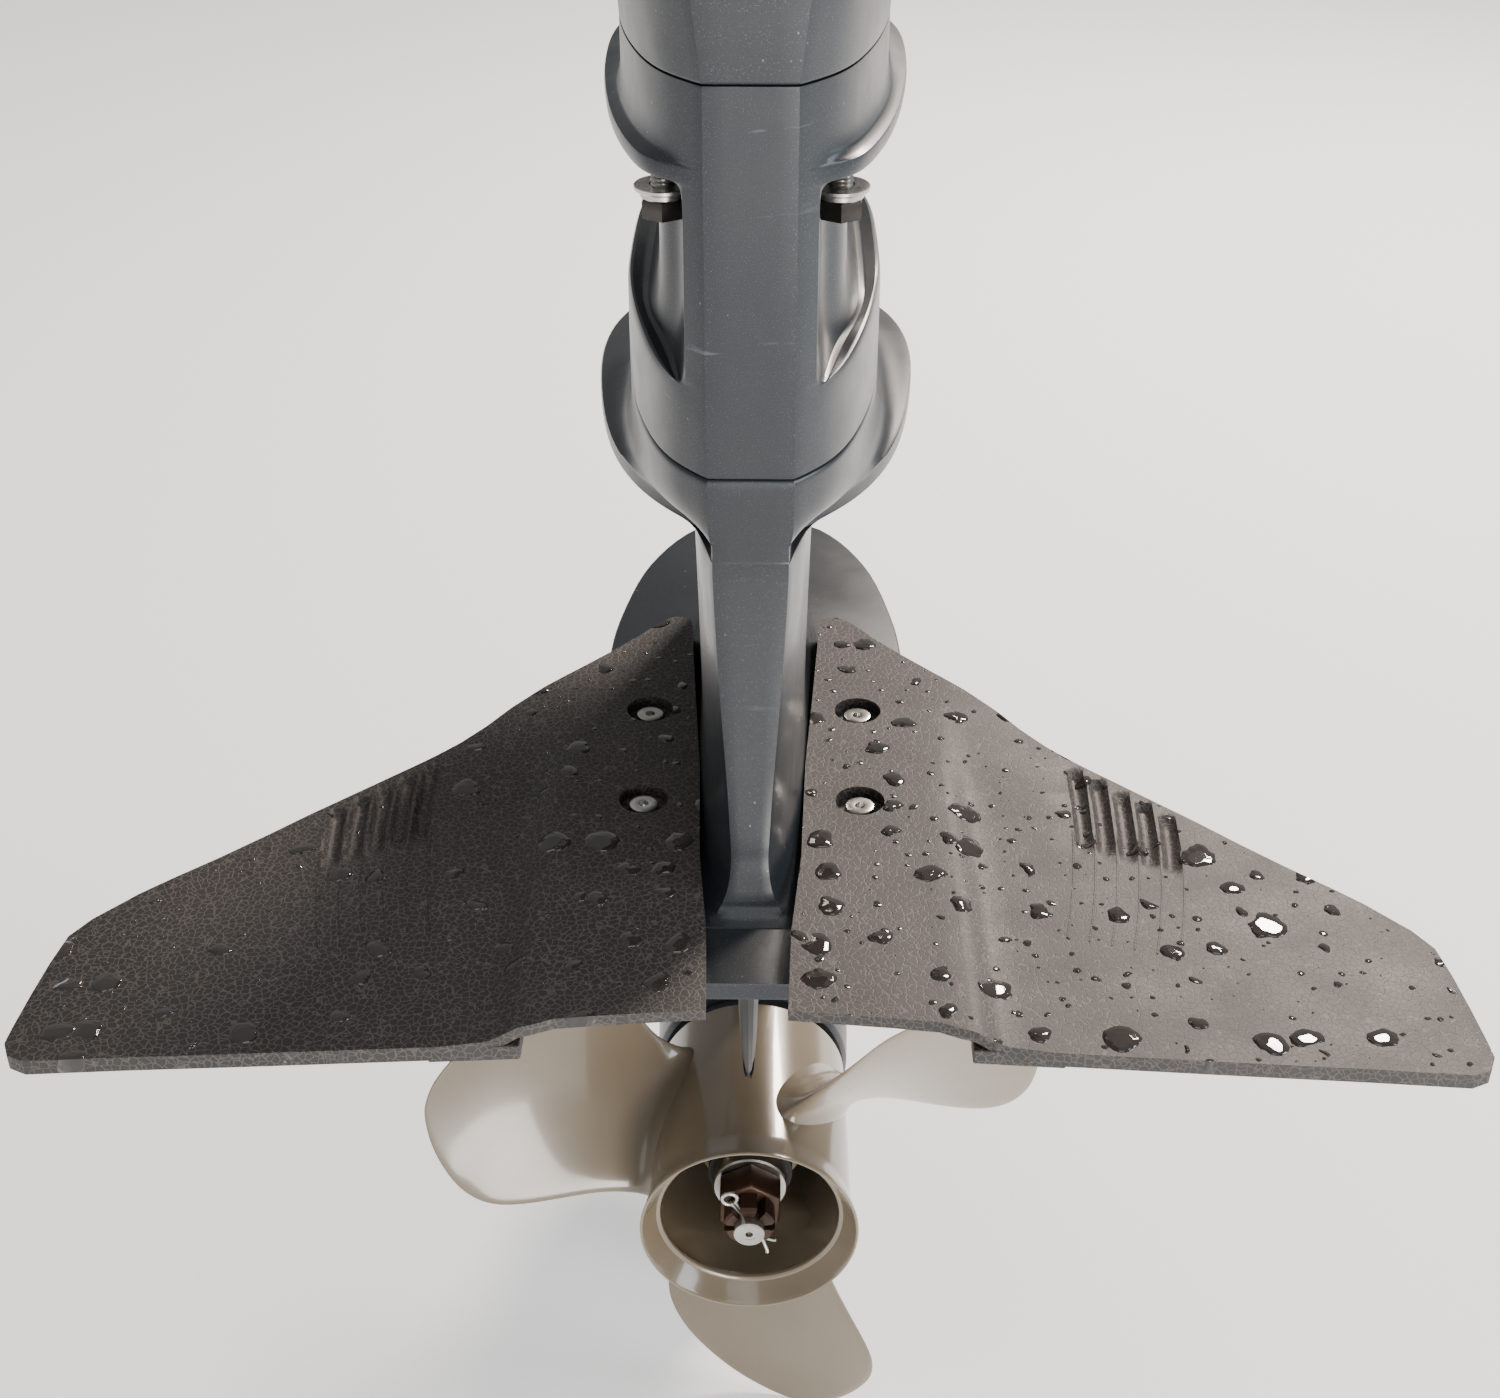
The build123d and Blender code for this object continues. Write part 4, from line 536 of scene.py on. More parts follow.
def smooth_edge(points, steps=5):
    """A denser list along a smooth curve through (x, y) points."""
    made = []
    padded = [points[0]] + list(points) + [points[-1]]
    for a, b, c, d in zip(padded, padded[1:], padded[2:], padded[3:]):
        for step in range(steps):
            t = step / steps
            point = []
            for p, q, r, s in zip(a, b, c, d):
                bend, twist = 2 * p - 5 * q + 4 * r - s, 3 * q - p - 3 * r + s
                point.append(0.5 * (2 * q + (r - p) * t + bend * t * t + twist * t ** 3))
            made.append(tuple(point))
    return made + [points[-1]]


def plate(bm, edge, low, high, rounding=1.2):
    """A flat plate with rounded edges, from (half width, ahead) points."""
    smooth = smooth_edge(edge)
    levels = [(low, -rounding), (low + rounding * 0.4, -rounding * 0.3), (low + rounding, 0)]
    levels += [(high - rounding, 0), (high - rounding * 0.4, -rounding * 0.3), (high, -rounding)]
    loft(bm, [plate_ring(smooth, z, grow) for z, grow in levels])


# ---------------------------------------------------------------- drive shaft housing
# depth under the housing's top, growth outwards
TOP_FLANGE = [(16, 1), (12, 6), (10.5, 9.5), (9.5, 10), (0.8, 10), (0, 9.2)]


def make_housing():
    """Upper casing: its rear panel widens upwards and its sides lean out."""
    bm = bmesh.new()
    top = (housing_high[2] - PLATE_Z) / MM
    bottom = (UPPER_JOINT_Z - PLATE_Z) / MM
    foot, edge = case_half(42, 13.6, 3, 207), case_half(44.5, 14.2, 0.5, 209.5)
    rings = [whole_ring(foot, level(foot, bottom + 0.05)), whole_ring(edge, level(edge, bottom + 0.1))]
    for share in (0.003, 0.06, 0.15, 0.3, 0.5, 0.7, 0.88):
        z = bottom + (top - 12.0 - bottom) * share
        flat = REAR_FLAT + min(18, 0.125 * (z - bottom))
        half = case_half(45.0 + 17.0 * share, flat, -10.0 * share, 210.0 + 2.0 * share)
        rings.append(whole_ring(half, level(half, z)))
    for down, grow in TOP_FLANGE:
        half = case_half(62.0 + grow, 33.0 + grow * 0.5, -10.0 - grow * 0.6, 212.0 + grow * 0.2)
        rings.append(whole_ring(half, level(half, top - down)))
    loft(bm, rings)
    crease(bm, 24, 0.8)
    piece(bm, "upper_casing", "midsection", "casing_paint", ["drive_shaft_housing"], levels=2)


# ---------------------------------------------------------------- shaft extension
def rim_height(y):
    """Height of the bell's rim, which climbs a little towards the front."""
    return 187.5 + 0.12 * min(y, 100)


FLANGE_FOOT = 254.8
# share of the way from the full section to the waist, height over the rim, height on the spine
BELL_RIM = [
    (0, -7, 180), (0, -4, 183), (0.02, -1.6, 185), (0.08, -0.2, 187), (0.16, 0, 188.5),
    (0.26, -0.6, 190), (0.45, -1.6, 192), (0.62, -1.2, 194.5), (0.78, 1.5, 197), (0.9, 6.5, 200.5),
    (0.98, 14, 206), (1, 22, 212),
]
# share, height over the flange's foot, height on the spine
FLANGE_FILLET = [
    (1, -16, 238), (0.985, -8, 244), (0.93, -3.2, 248), (0.8, -0.9, 250.5), (0.5, 0, 252),
    (0.08, 0, 253.5),
]
# share of the way from the full section to the wing, height
WING_RINGS = [
    (0.9, 255, 254.8), (1, 256.4, 256.4), (1, 258.8, 258.8), (0.95, 260.2, 260.2), (0.55, 261.2, 261.2),
    (0.24, 262.6, 262.6), (0.08, 265.2, 265.2), (0.015, 268.5, 268.5), (0, 272, 272),
]


def sloped(heights, shift, spine, spared=3):
    """Heights moved by a shift, except on the spine, which keeps its own."""
    return [spine] * spared + [z + shift for z in heights[spared:]]


def make_extension():
    """Extension case: scooped lower bell, waist column, rear spine, splash wing and upper flange."""
    bm = bmesh.new()
    full, waist, wing = case_half(), waist_half(), wing_half()
    low = (LOWER_JOINT_Z - PLATE_Z) / MM
    high = (UPPER_JOINT_Z - PLATE_Z) / MM
    inset = case_half(45.0 - JOINT_LINE, REAR_FLAT - JOINT_LINE * 0.6, JOINT_LINE, 210.0 - JOINT_LINE)
    rim = [rim_height(point[1]) for point in full]
    rings = [whole_ring(inset, level(full, low)), whole_ring(inset, level(full, low + JOINT_LINE))]
    for z in (low + JOINT_LINE + 0.2, low + 2.5, low + 12):
        rings.append(whole_ring(full, level(full, z)))
    for share, shift, spine in BELL_RIM:
        rings.append(whole_ring(between(full, waist, share), sloped(rim, shift, spine)))
    foot = level(full, FLANGE_FOOT)
    for share, shift, spine in FLANGE_FILLET:
        rings.append(whole_ring(between(full, waist, share), sloped(foot, shift, spine)))
    for share, z, spine in WING_RINGS:
        rings.append(whole_ring(between(full, wing, share), sloped(level(full, z), 0, spine)))
    for z in (high - 6, high - 2, high - 0.2):
        rings.append(whole_ring(full, level(full, z)))
    rings.append(whole_ring(inset, level(full, high)))
    loft(bm, rings)
    crease(bm, 28, 0.75)
    piece(bm, "extension", "midsection", "casing_paint", ["extension_case"], levels=2)


HEX_STEPS = 6


def add_hexagon(bm, centre, across_flats, low, high, chamfer=0.9):
    """A hexagon head or nut body with chamfered corners, between two heights in metres."""
    corner = across_flats / math.sqrt(3) * MM
    made = bmesh.ops.create_cone(
        bm, cap_ends=True, segments=HEX_STEPS, radius1=corner, radius2=corner, depth=high - low,
        matrix=Matrix.Translation((centre[0], centre[1], (low + high) / 2)),
    )
    edges = {edge for vert in made["verts"] for edge in vert.link_edges}
    rims = [edge for edge in edges if abs(edge.verts[0].co.z - edge.verts[1].co.z) < 1e-7]
    bmesh.ops.bevel(bm, geom=rims, offset=chamfer * MM, segments=2, profile=0.5, affect="EDGES")


def thread_profile(low, high, radius=3.95, depth=0.55, pitch=1.25):
    """Profile of a threaded rod as sharp ridges, (radius, along) in millimetres."""
    points = [(0, low)]
    turns = int((high - low) / pitch)
    for turn in range(turns):
        points += [(radius - depth, low + turn * pitch), (radius, low + (turn + 0.5) * pitch)]
    return points + [(radius - depth, high), (0, high)]


BOLT_ACROSS_FLATS = 13.0
WASHER = [(4.3, -1.7), (8.9, -1.7), (9.2, -1.3), (9.2, -0.3), (8.9, 0), (4.3, 0), (4.3, -1.7)]
SPRING_WASHER = [(4.4, -2.1), (7.1, -2.1), (7.3, -1.8), (7.3, -0.3), (7.1, 0), (4.4, 0), (4.4, -2.1)]
UPPER_BOLTS = [(28, 29.5), (36.5, 140)]
LOWER_BOLTS = [(34, 75), (36, 150)]
SPLASH_FOOT = 129.0


def make_case_bolts():
    """M8 bolts up through both joints; the upper four are backed out and show thread and washers."""
    heads, threads, washers = bmesh.new(), bmesh.new(), bmesh.new()
    for side in (1, -1):
        for x, y in UPPER_BOLTS:
            centre = spot(side * x, y, 0)
            top = FLANGE_FOOT - 7.2
            revolve(threads, thread_profile(top - 4.5, FLANGE_FOOT + 6), centre, UP, steps=24)
            revolve(washers, WASHER, centre + Vector((0, 0, top * MM)), UP)
            revolve(washers, SPRING_WASHER, centre + Vector((0, 0, (top - 1.8) * MM)), UP)
            head = above(top - 4)
            add_hexagon(heads, centre, BOLT_ACROSS_FLATS, head - 6.6 * MM, head)
        for x, y in LOWER_BOLTS:
            centre = spot(side * x, y, 0)
            revolve(threads, thread_profile(SPLASH_FOOT - 1, SPLASH_FOOT + 36), centre, UP, steps=16)
            low, high = above(SPLASH_FOOT - 8), above(SPLASH_FOOT - 0.5)
            add_hexagon(heads, centre, BOLT_ACROSS_FLATS, low, high)
    piece(heads, "case_bolt_heads", "midsection", "dark_steel", ["case_bolts"])
    piece(threads, "case_bolt_threads", "midsection", "stainless")
    piece(washers, "case_bolt_washers", "midsection", "stainless", ["extension_washers"])


# ---------------------------------------------------------------- lower unit
PLATE_T = 7.0
PLATE_EDGE = [(44, -63), (53, 0), (61, 90), (63, 150), (60, 190), (50, 236), (30, 272), (0, 286)]
# share of the way from the neck to the splash plate, height
NECK_FILLET = [
    (0, 157.6), (0, 151), (0.02, 147.5), (0.07, 143.5), (0.17, 140.2), (0.34, 137.6), (0.58, 135.9),
    (0.84, 135.1), (0.96, 134.6), (1, 133.4), (1, 130.4), (0.96, 129.3),
]
# share of the way from the splash plate to the strut, height
UNDER_SPLASH = [(0.12, 128.8), (0.8, 128.3), (0.96, 127)]
# height, half width, rear flat, rear, front of the strut
STRUT = [
    (122, 22.5, 13, -0.1, 212), (100, 22, 12, -2, 212), (75, 21.3, 10.4, -6, 213),
    (50, 20.8, 8.4, -10.5, 215), (34, 20.5, 7.4, -14.5, 216), (25, 20.4, 6.8, -17.5, 217),
    (21.5, 20.4, 6.6, -19.2, 217), (17, 20.5, 6.7, -21, 217.5), (9, 21.2, 7.8, -23, 218),
    (4.5, 22.8, 10, -25.5, 220), (1.8, 25.5, 13.2, -29.5, 224), (0.4, 28, 16, -33, 228),
    (-1, 29, 17, -34, 229),
]


BARREL = (PROP_Z - PLATE_Z) / MM  # the propeller shaft's height over the plate
# height, half width, rear flat, rear, front of the leg under the plate
LOWER_STRUT = [
    (-6.5, 30, 8, 50, 234), (-9, 25, 5, 56, 229), (-16, 21.5, 4, 60, 226),
    (-60, 20.5, 4, 61, 224), (BARREL + 48, 21.5, 4, 61, 225),
    (BARREL + 39, 26, 5, 60, 227), (BARREL + 32, 33, 6, 60, 229),
    (BARREL + 10, 36, 6, 62, 225),
]


def make_lower_unit():
    """Lower unit: neck, splash plate, sloped strut and anti-ventilation plate."""
    bm = bmesh.new()
    joint = (LOWER_JOINT_Z - PLATE_Z) / MM
    full, top_strut = case_half(), case_half(*STRUT[0][1:])
    rings = [whole_ring(case_half(44.3, 14.1, 0.6, 209.4), level(full, joint))]
    for share, z in NECK_FILLET:
        rings.append(whole_ring(between(full, SPLASH_HALF, share, 0), level(full, z)))
    for share, z in UNDER_SPLASH:
        rings.append(whole_ring(between(SPLASH_HALF, top_strut, share, 0), level(full, z)))
    for z, *sizes in STRUT:
        rings.append(whole_ring(case_half(*sizes), level(full, z)))
    loft(bm, rings)
    crease(bm, 26, 0.6)
    piece(bm, "lower_unit_strut", "midsection", "casing_paint", ["lower_unit_case"], levels=2)
    bm = bmesh.new()
    plate(bm, PLATE_EDGE, -PLATE_T, 0, 1.3)
    piece(bm, "anti_ventilation_plate", "midsection", "casing_paint")
    bm = bmesh.new()
    loft(bm, [whole_ring(case_half(*sizes), level(full, z)) for z, *sizes in LOWER_STRUT])
    piece(bm, "lower_strut", "midsection", "casing_paint", levels=1)


GEAR_BARREL = [
    (0, -3), (26, -3), (39, -2), (40.5, 0), (40.8, 2), (41.4, 20), (41.5, 60), (41.2, 100), (39, 128),
    (34.5, 148), (28, 166), (20, 179), (11, 187), (4, 189.6), (0, 190),
]


# depth under the propeller shaft, rear, front, half width
SKEG = [
    (30, 84, 206, 8), (40, 84, 200, 4.6), (60, 76, 180, 3.6), (90, 65, 152, 3.2), (115, 56, 129, 2.9),
    (127, 52.5, 116, 2.5), (131, 56, 108, 1.6),
]
SKEG_STEPS = 20


def make_gear_barrel():
    """Bullet-shaped gear housing and the skeg under it."""
    bm = bmesh.new()
    start = Vector((0, ahead(61), PROP_Z))
    revolve(bm, GEAR_BARREL[1:], start, FORWARD, steps=64)
    holes = [edge for edge in bm.edges if len(edge.link_faces) == 1]
    bmesh.ops.holes_fill(bm, edges=holes)
    piece(bm, "gear_barrel", "midsection", "casing_paint")
    bm = bmesh.new()
    rings = []
    for drop, rear, front, half in SKEG:
        middle, reach = (rear + front) / 2, (front - rear) / 2
        outline = []
        for step in range(SKEG_STEPS):
            turn = math.tau * step / SKEG_STEPS
            x = half * squared(math.sin(turn), 0.8) * MM
            outline.append((x, ahead(middle + reach * math.cos(turn)), above(BARREL - drop)))
        rings.append(outline)
    loft(bm, rings)
    piece(bm, "skeg", "midsection", "casing_paint", levels=1)


# ---------------------------------------------------------------- hydrofoils
FOIL_INNER = [(13.5, -86.5), (14.8, -44), (18.5, -2), (20.5, 57), (24, 108), (26.3, 144), (27.3, 163)]
FOIL_FRONT = [
    (28.5, 168), (31, 170.5), (35, 171), (39, 168.5), (44, 163), (50, 154.2), (61, 141), (74, 126.5),
    (86.7, 113), (98.5, 98.5), (107, 86.5), (116.5, 75.5), (126.5, 66), (139, 54.8), (151.5, 43),
    (167, 28.4), (181, 14.4), (195, 1), (209, -11.5), (222.5, -24.2),
]
FOIL_TIP = [
    (232.5, -33), (238.6, -42), (240.4, -57), (241.4, -74), (242, -91), (242, -99), (239, -105.5),
    (233, -108.3),
]
FOIL_REAR = [
    (202, -106.3), (158.5, -104), (129, -102.3), (100, -100.6), (85.5, -98.2), (77.7, -97),
    (70.5, -94.8), (63, -91.6), (48, -89.8),
]
FOIL_T = 9.0
FOIL_EDGE_T = 4.4
PAD_GAP = 0.35  # between a foil's pad and the plate
STEP_X = 73.0
STEP_DROP = 4.5
TIP_FOLD = ((222, -33), (236, -92))
RIB_SLANT = -0.055
RIB_PITCH = 8.0
RIB_FIRST_X = 124.8
RIB_COUNT = 5
RIB_MIDDLE_Y = 30.0
RIB_BOW = 0.0012
GROOVE_HALF = 3.4
GROOVE_DEPTH = 2.9


def soft_step(value):
    """0 below 0, 1 above 1, smooth between."""
    value = min(1, max(0, value))
    return value * value * (3 - 2 * value)


def foil_top(x, y):
    """Height of a foil's top face: inner pad, step down, folded tip and grooves by the front edge."""
    fade = 1.0 - soft_step((y - 30) / 70)
    height = FOIL_T - STEP_DROP * soft_step((x - STEP_X) / 13) * fade
    height -= STEP_DROP * soft_step((x - STEP_X) / 75) * (1.0 - fade)
    height -= 0.006 * max(0, x - 86)
    (fold_x, fold_y), (end_x, end_y) = TIP_FOLD
    past = x - (fold_x + (end_x - fold_x) * (y - fold_y) / (end_y - fold_y))
    if past > 0.0:
        height -= 0.17 * past
    return height - groove_depth(x, y)


def rib_line(number, y):
    """X of a groove's middle at a distance ahead; the grooves bow slightly."""
    off = y - RIB_MIDDLE_Y
    return RIB_FIRST_X + RIB_PITCH * number - RIB_SLANT * off - RIB_BOW * off ** 2


def groove_ends(number):
    """Front and rear ends of a groove."""
    return 61.0 - 7.4 * number, 7.5 - 3.4 * number


def groove_depth(x, y):
    """Depth of the scooped grooves, which run out gently at their rear ends."""
    depth = 0.0
    for number in range(RIB_COUNT):
        front, rear = groove_ends(number)
        off = abs(x - rib_line(number, y))
        if off < GROOVE_HALF and rear - 1.0 < y < front + 1.0:
            across = 1.0 - (off / GROOVE_HALF) ** 2
            along = soft_step((y - rear) / 9) * (1.0 - soft_step((y - front + 2) / 2.5))
            depth += GROOVE_DEPTH * across * along
    return depth


def groove_cuts():
    """Cutting planes along the edges of the grooves and across them."""
    cuts = []
    slope = Vector((1, RIB_SLANT, 0)).normalized()
    for number in range(RIB_COUNT + 1):
        for off in (-4, -3.4, -2.6, -1.7, -0.8, 0.8, 1.7, 2.6, 3.4):
            cuts.append(((rib_line(number, RIB_MIDDLE_Y) + off, RIB_MIDDLE_Y, 0), tuple(slope)))
    return cuts + [((0, y, 0), (0, 1, 0)) for y in range(-8, 64, 3)]


STIFFENER = [(74, -97.5), (104, -99.5), (104, -88), (74, -86)]
STIFFENER_LOW, STIFFENER_HIGH = -3.6, 2.2


def make_foil(side, name):
    """One hydrofoil with its pad, step, folded tip, grooves and rounded rim."""
    bm = bmesh.new()
    bm.faces.new([bm.verts.new((x, y, 0)) for x, y in FOIL_INNER + FOIL_FRONT + FOIL_TIP + FOIL_REAR])
    cuts = [((x, 0, 0), (1, 0, 0)) for x in (55, 65, 73, 75, 77, 79, 81, 83, 86, 92, 100, 110, 178, 200)]
    cuts += [((0, y, 0), (0, 1, 0)) for y in range(-96, 150, 16)]
    (fold_x, fold_y), (end_x, end_y) = TIP_FOLD
    cuts.append(((fold_x, fold_y, 0), (fold_y - end_y, end_x - fold_x, 0)))
    for place, normal in cuts + groove_cuts():
        everything = bm.verts[:] + bm.edges[:] + bm.faces[:]
        bmesh.ops.bisect_plane(bm, geom=everything, plane_co=place, plane_no=normal, dist=0.02)
    made = bmesh.ops.extrude_face_region(bm, geom=bm.faces[:])["geom"]
    top = set(verts_of(made))
    for vert in bm.verts:
        x, y = vert.co.x, vert.co.y
        height = foil_top(x, y)
        if vert not in top:
            plump = soft_step((x - STEP_X) / 20)
            height += groove_depth(x, y)
            if x > STEP_X:
                height -= FOIL_EDGE_T + 1.4 * plump
            else:
                tail = soft_step((-70.0 - y) / 8)
                height += PAD_GAP - FOIL_T + (FOIL_T - FOIL_EDGE_T - PAD_GAP) * tail
        vert.co = spot(side * x, y, height)
    foil = piece(bm, name, "midsection", "foil_plastic", [name], sharp=38, rounding=0.9, segments=3)
    bm = bmesh.new()
    low, high = above(STIFFENER_LOW), above(STIFFENER_HIGH)
    thicken(bm, [(side * x * MM, ahead(y), low) for x, y in STIFFENER], (0, 0, high - low))
    piece(bm, name + "_stiffener", "midsection", "foil_plastic", rounding=0.6)
    return foil


def cut_holes(target, cutters):
    """Cuts plain round holes into a piece for good, before its rounding."""
    for cutter in cutters:
        cut = target.modifiers.new("hole", "BOOLEAN")
        cut.operation = "DIFFERENCE"
        cut.solver = "EXACT"
        cut.object = cutter
        with bpy.context.temp_override(object=target):
            bpy.ops.object.modifier_move_to_index(modifier="hole", index=0)
            bpy.ops.object.modifier_apply(modifier="hole")
        bpy.data.objects.remove(cutter)


def round_cutter(place, radius, low, high):
    """A cylinder to cut with, between two heights in millimetres above the plate."""
    bm = bmesh.new()
    bmesh.ops.create_cone(
        bm, cap_ends=True, segments=48, radius1=radius * MM, radius2=radius * MM, depth=(high - low) * MM,
        matrix=Matrix.Translation(spot(place[0], place[1], (low + high) / 2)),
    )
    mesh = bpy.data.meshes.new("cutter")
    bm.to_mesh(mesh)
    bm.free()
    cutter = bpy.data.objects.new("cutter", mesh)
    bpy.context.scene.collection.objects.link(cutter)
    return cutter


FOIL_BOLTS = [(42, 96), (41, 33)]
COUNTERBORE_R, SCREW_HOLE_R, SCREW_SEAT = 9.3, 3.3, 4.0


def make_foils():
    """Both hydrofoils, with counterbored bolt holes."""
    for side, name in ((1, "foil_starboard"), (-1, "foil_port")):
        foil = make_foil(side, name)
        for x, y in FOIL_BOLTS:
            counterbore = round_cutter((side * x, y), COUNTERBORE_R, SCREW_SEAT, 20)
            cut_holes(foil, [counterbore, round_cutter((side * x, y), SCREW_HOLE_R, -5, 20)])


SCORE_REAR = -42.0
SCORE_RISE = 0.28
SCORE_STEPS = 8
# distance across, depth under the crest
SCORE_SECTION = [(-0.55, 0.9), (-0.25, 0), (0.25, 0), (0.55, 0.9)]


def make_foil_scores():
    """Fine raised lines that run on aft from between the grooves of each foil."""
    for side, name in ((1, "starboard"), (-1, "port")):
        bm = bmesh.new()
        for number in range(RIB_COUNT + 1):
            front = groove_ends(number)[1] + 14.0
            rings = []
            for step in range(SCORE_STEPS + 1):
                y = front + (SCORE_REAR - 2.0 * number - front) * step / SCORE_STEPS
                x = rib_line(number, y) - RIB_PITCH / 2
                top = foil_top(x, y) + SCORE_RISE
                section = [(x + off, top - drop) for off, drop in SCORE_SECTION]
                rings.append([spot(side * across, y, z) for across, z in section])
            loft(bm, rings)
        piece(bm, f"foil_scores_{name}", "midsection", "foil_plastic")


SCREW_HEAD = [
    (0, 1.3), (1.5, 1.3), (1.9, 2.8), (4.4, 3.1), (5.3, 2.8), (5.7, 2), (5.7, 0), (3, 0), (3, -24),
    (0, -24),
]


def make_foil_bolts():
    """Flat socket heads at the bottom of the counterbores."""
    bm = bmesh.new()
    for side in (1, -1):
        for x, y in FOIL_BOLTS:
            revolve(bm, SCREW_HEAD, spot(side * x, y, SCREW_SEAT), UP, steps=32)
    piece(bm, "foil_screws", "midsection", "stainless", ["foil_bolts"])


# ---------------------------------------------------------------- propeller
PITCH = 285.0
BLADE_MID = 13.2
BLADE_RAKE = 0.248
HUB_TUBE_R = 40.0
HUB_REAR_Y, HUB_LENGTH = -36, 91.0
SLEEVE_REAR, SLEEVE_FRONT = 44, HUB_LENGTH - 12.0
BLADE_COUNT = 3
# radius, distance from the rear rim: the flared lip, its shoulder, the barrel and the bore
HUB_PROFILE = [
    (36.6, 22), (36.6, 12.5), (35.7, 11.2), (35.3, 10.2), (35.5, 9.2), (36.2, 8.6), (37, 8.4), (41, 2),
    (41.5, 0.9), (42, 0.2), (42.6, 0), (43, 0.5), (43, 1.6), (42.6, 3.2), (41.6, 7), (40.8, 10.5),
    (40.5, 13), (40.5, 13.4), (40.1, 13.8), (40, 20), (39.9, 45), (39.6, 70),
    (39.2, HUB_LENGTH - 1), (38.4, HUB_LENGTH), (36.6, HUB_LENGTH), (36.2, HUB_LENGTH - 1),
    (36.6, 22),
]
# radius, chord, thickness, sweep back in degrees
BLADE_SECTIONS = [
    (37.5, 68, 34, 11.5), (40.3, 66, 25, 10.9), (43.2, 64, 17, 10.3), (48, 64, 11.5, 9.3),
    (60.7, 69, 7.6, 7.2), (80.9, 91, 5.8, 4.1), (101, 106, 4.4, 4.2), (112, 96, 3.8, 5.7),
    (118.6, 82, 3.3, 6.8), (125.5, 60, 2.8, 7.9), (130, 40, 2.4, 8.8), (133.4, 20, 2, 9.6),
    (134.6, 8, 1.6, 10),
]


BLADE_SHARES = [0.0, 0.04, 0.14, 0.3, 0.5, 0.7, 0.86, 0.96, 1.0]
BLADE_CAMBER = 0.030


def blade_section(radius, chord, thick, sweep, turn):
    """Closed lens section wrapped on a cylinder of that radius."""
    angle = math.atan2(PITCH, math.tau * radius)
    points = []
    outline = [(share, 1) for share in BLADE_SHARES]
    outline += [(share, -1) for share in BLADE_SHARES[-2:0:-1]]
    for share, face in outline:
        along = (share - 0.5) * chord
        camber = BLADE_CAMBER * chord * (1 - (2 * share - 1) ** 2)
        plump = math.sqrt(max(0, 1 - abs(2 * share - 1) ** 2.4))
        off = camber + face * thick / 2 * plump
        axial = along * math.sin(angle) + off * math.cos(angle) - BLADE_RAKE * (radius - HUB_TUBE_R)
        tangential = off * math.sin(angle) - along * math.cos(angle)
        bearing = math.radians(-90 + sweep + turn) + tangential / radius
        points.append(Vector((
            radius * math.cos(bearing) * MM,
            ahead(BLADE_MID + axial),
            PROP_Z + radius * math.sin(bearing) * MM,
        )))
    return points


def make_propeller():
    """Three blades on a through-hub with a flared rear ring and a ribbed inner sleeve."""
    bm = bmesh.new()
    start = Vector((0, ahead(HUB_REAR_Y), PROP_Z))
    revolve(bm, HUB_PROFILE, start, FORWARD, steps=72)
    piece(bm, "propeller_hub", "prop", "propeller_paint", ["propeller"])
    bm = bmesh.new()
    sleeve = [
        (17.2, SLEEVE_REAR), (20, SLEEVE_REAR), (21, SLEEVE_REAR + 1), (21, SLEEVE_FRONT),
        (17.2, SLEEVE_FRONT), (17.2, SLEEVE_REAR),
    ]
    revolve(bm, sleeve, start, FORWARD, steps=48)
    rib_rear, rib_front = SLEEVE_REAR + 3, SLEEVE_FRONT - 3
    for number in range(BLADE_COUNT):
        turn = math.radians(30 + 120 * number)
        out = Vector((math.cos(turn), 0, math.sin(turn)))
        across = Vector((-math.sin(turn), 0, math.cos(turn)))
        rings = []
        for radius in (20, 22, 35, 37.5):
            spread = 3.0 if 21 < radius < 36 else 4.4
            middle = start + out * radius * MM
            corners = [(-spread, rib_rear), (spread, rib_rear), (spread, rib_front), (-spread, rib_front)]
            rings.append([middle + (across * wide + Vector((0, along, 0))) * MM for wide, along in corners])
        loft(bm, rings)
    piece(bm, "propeller_sleeve", "prop", "propeller_paint", rounding=0.8)
    for number in range(BLADE_COUNT):
        bm = bmesh.new()
        rings = [blade_section(*section, 120 * number) for section in BLADE_SECTIONS]
        loft(bm, rings)
        piece(bm, f"propeller_blade_{number + 1}", "prop", "propeller_paint", levels=2, sharp=60)


PIN_TURN = 122.0  # bearing of the cotter pin's loop, in degrees from starboard
NUT_FRONT, NUT_SHOULDER, NUT_REAR = -12, -24.5, -33.5
NUT_PIN_AT = -30.0
NUT_ACROSS_FLATS = 24.0
CROWN_LUGS = 6
CROWN_BORE_R, CROWN_R = 6.2, 10.2
PIN_LOOP_R = 3.0


def across_shaft(turn, radius, y):
    """A point round the propeller shaft, from a bearing in degrees, a radius and a distance ahead."""
    bearing = math.radians(turn)
    return Vector((radius * math.cos(bearing) * MM, ahead(y), PROP_Z + radius * math.sin(bearing) * MM))


def tube(bm, points, radius, steps=12):
    """A round bar of one radius in millimetres through a list of points."""
    rings = []
    for index, point in enumerate(points):
        before, after = points[max(index - 1, 0)], points[min(index + 1, len(points) - 1)]
        along = (after - before).normalized()
        side = along.cross(Vector((0.3, 1, 0.2))).normalized()
        other = along.cross(side)
        ring = []
        for step in range(steps):
            turn = math.tau * step / steps
            ring.append(point + (side * math.cos(turn) + other * math.sin(turn)) * radius * MM)
        rings.append(ring)
    loft(bm, rings)


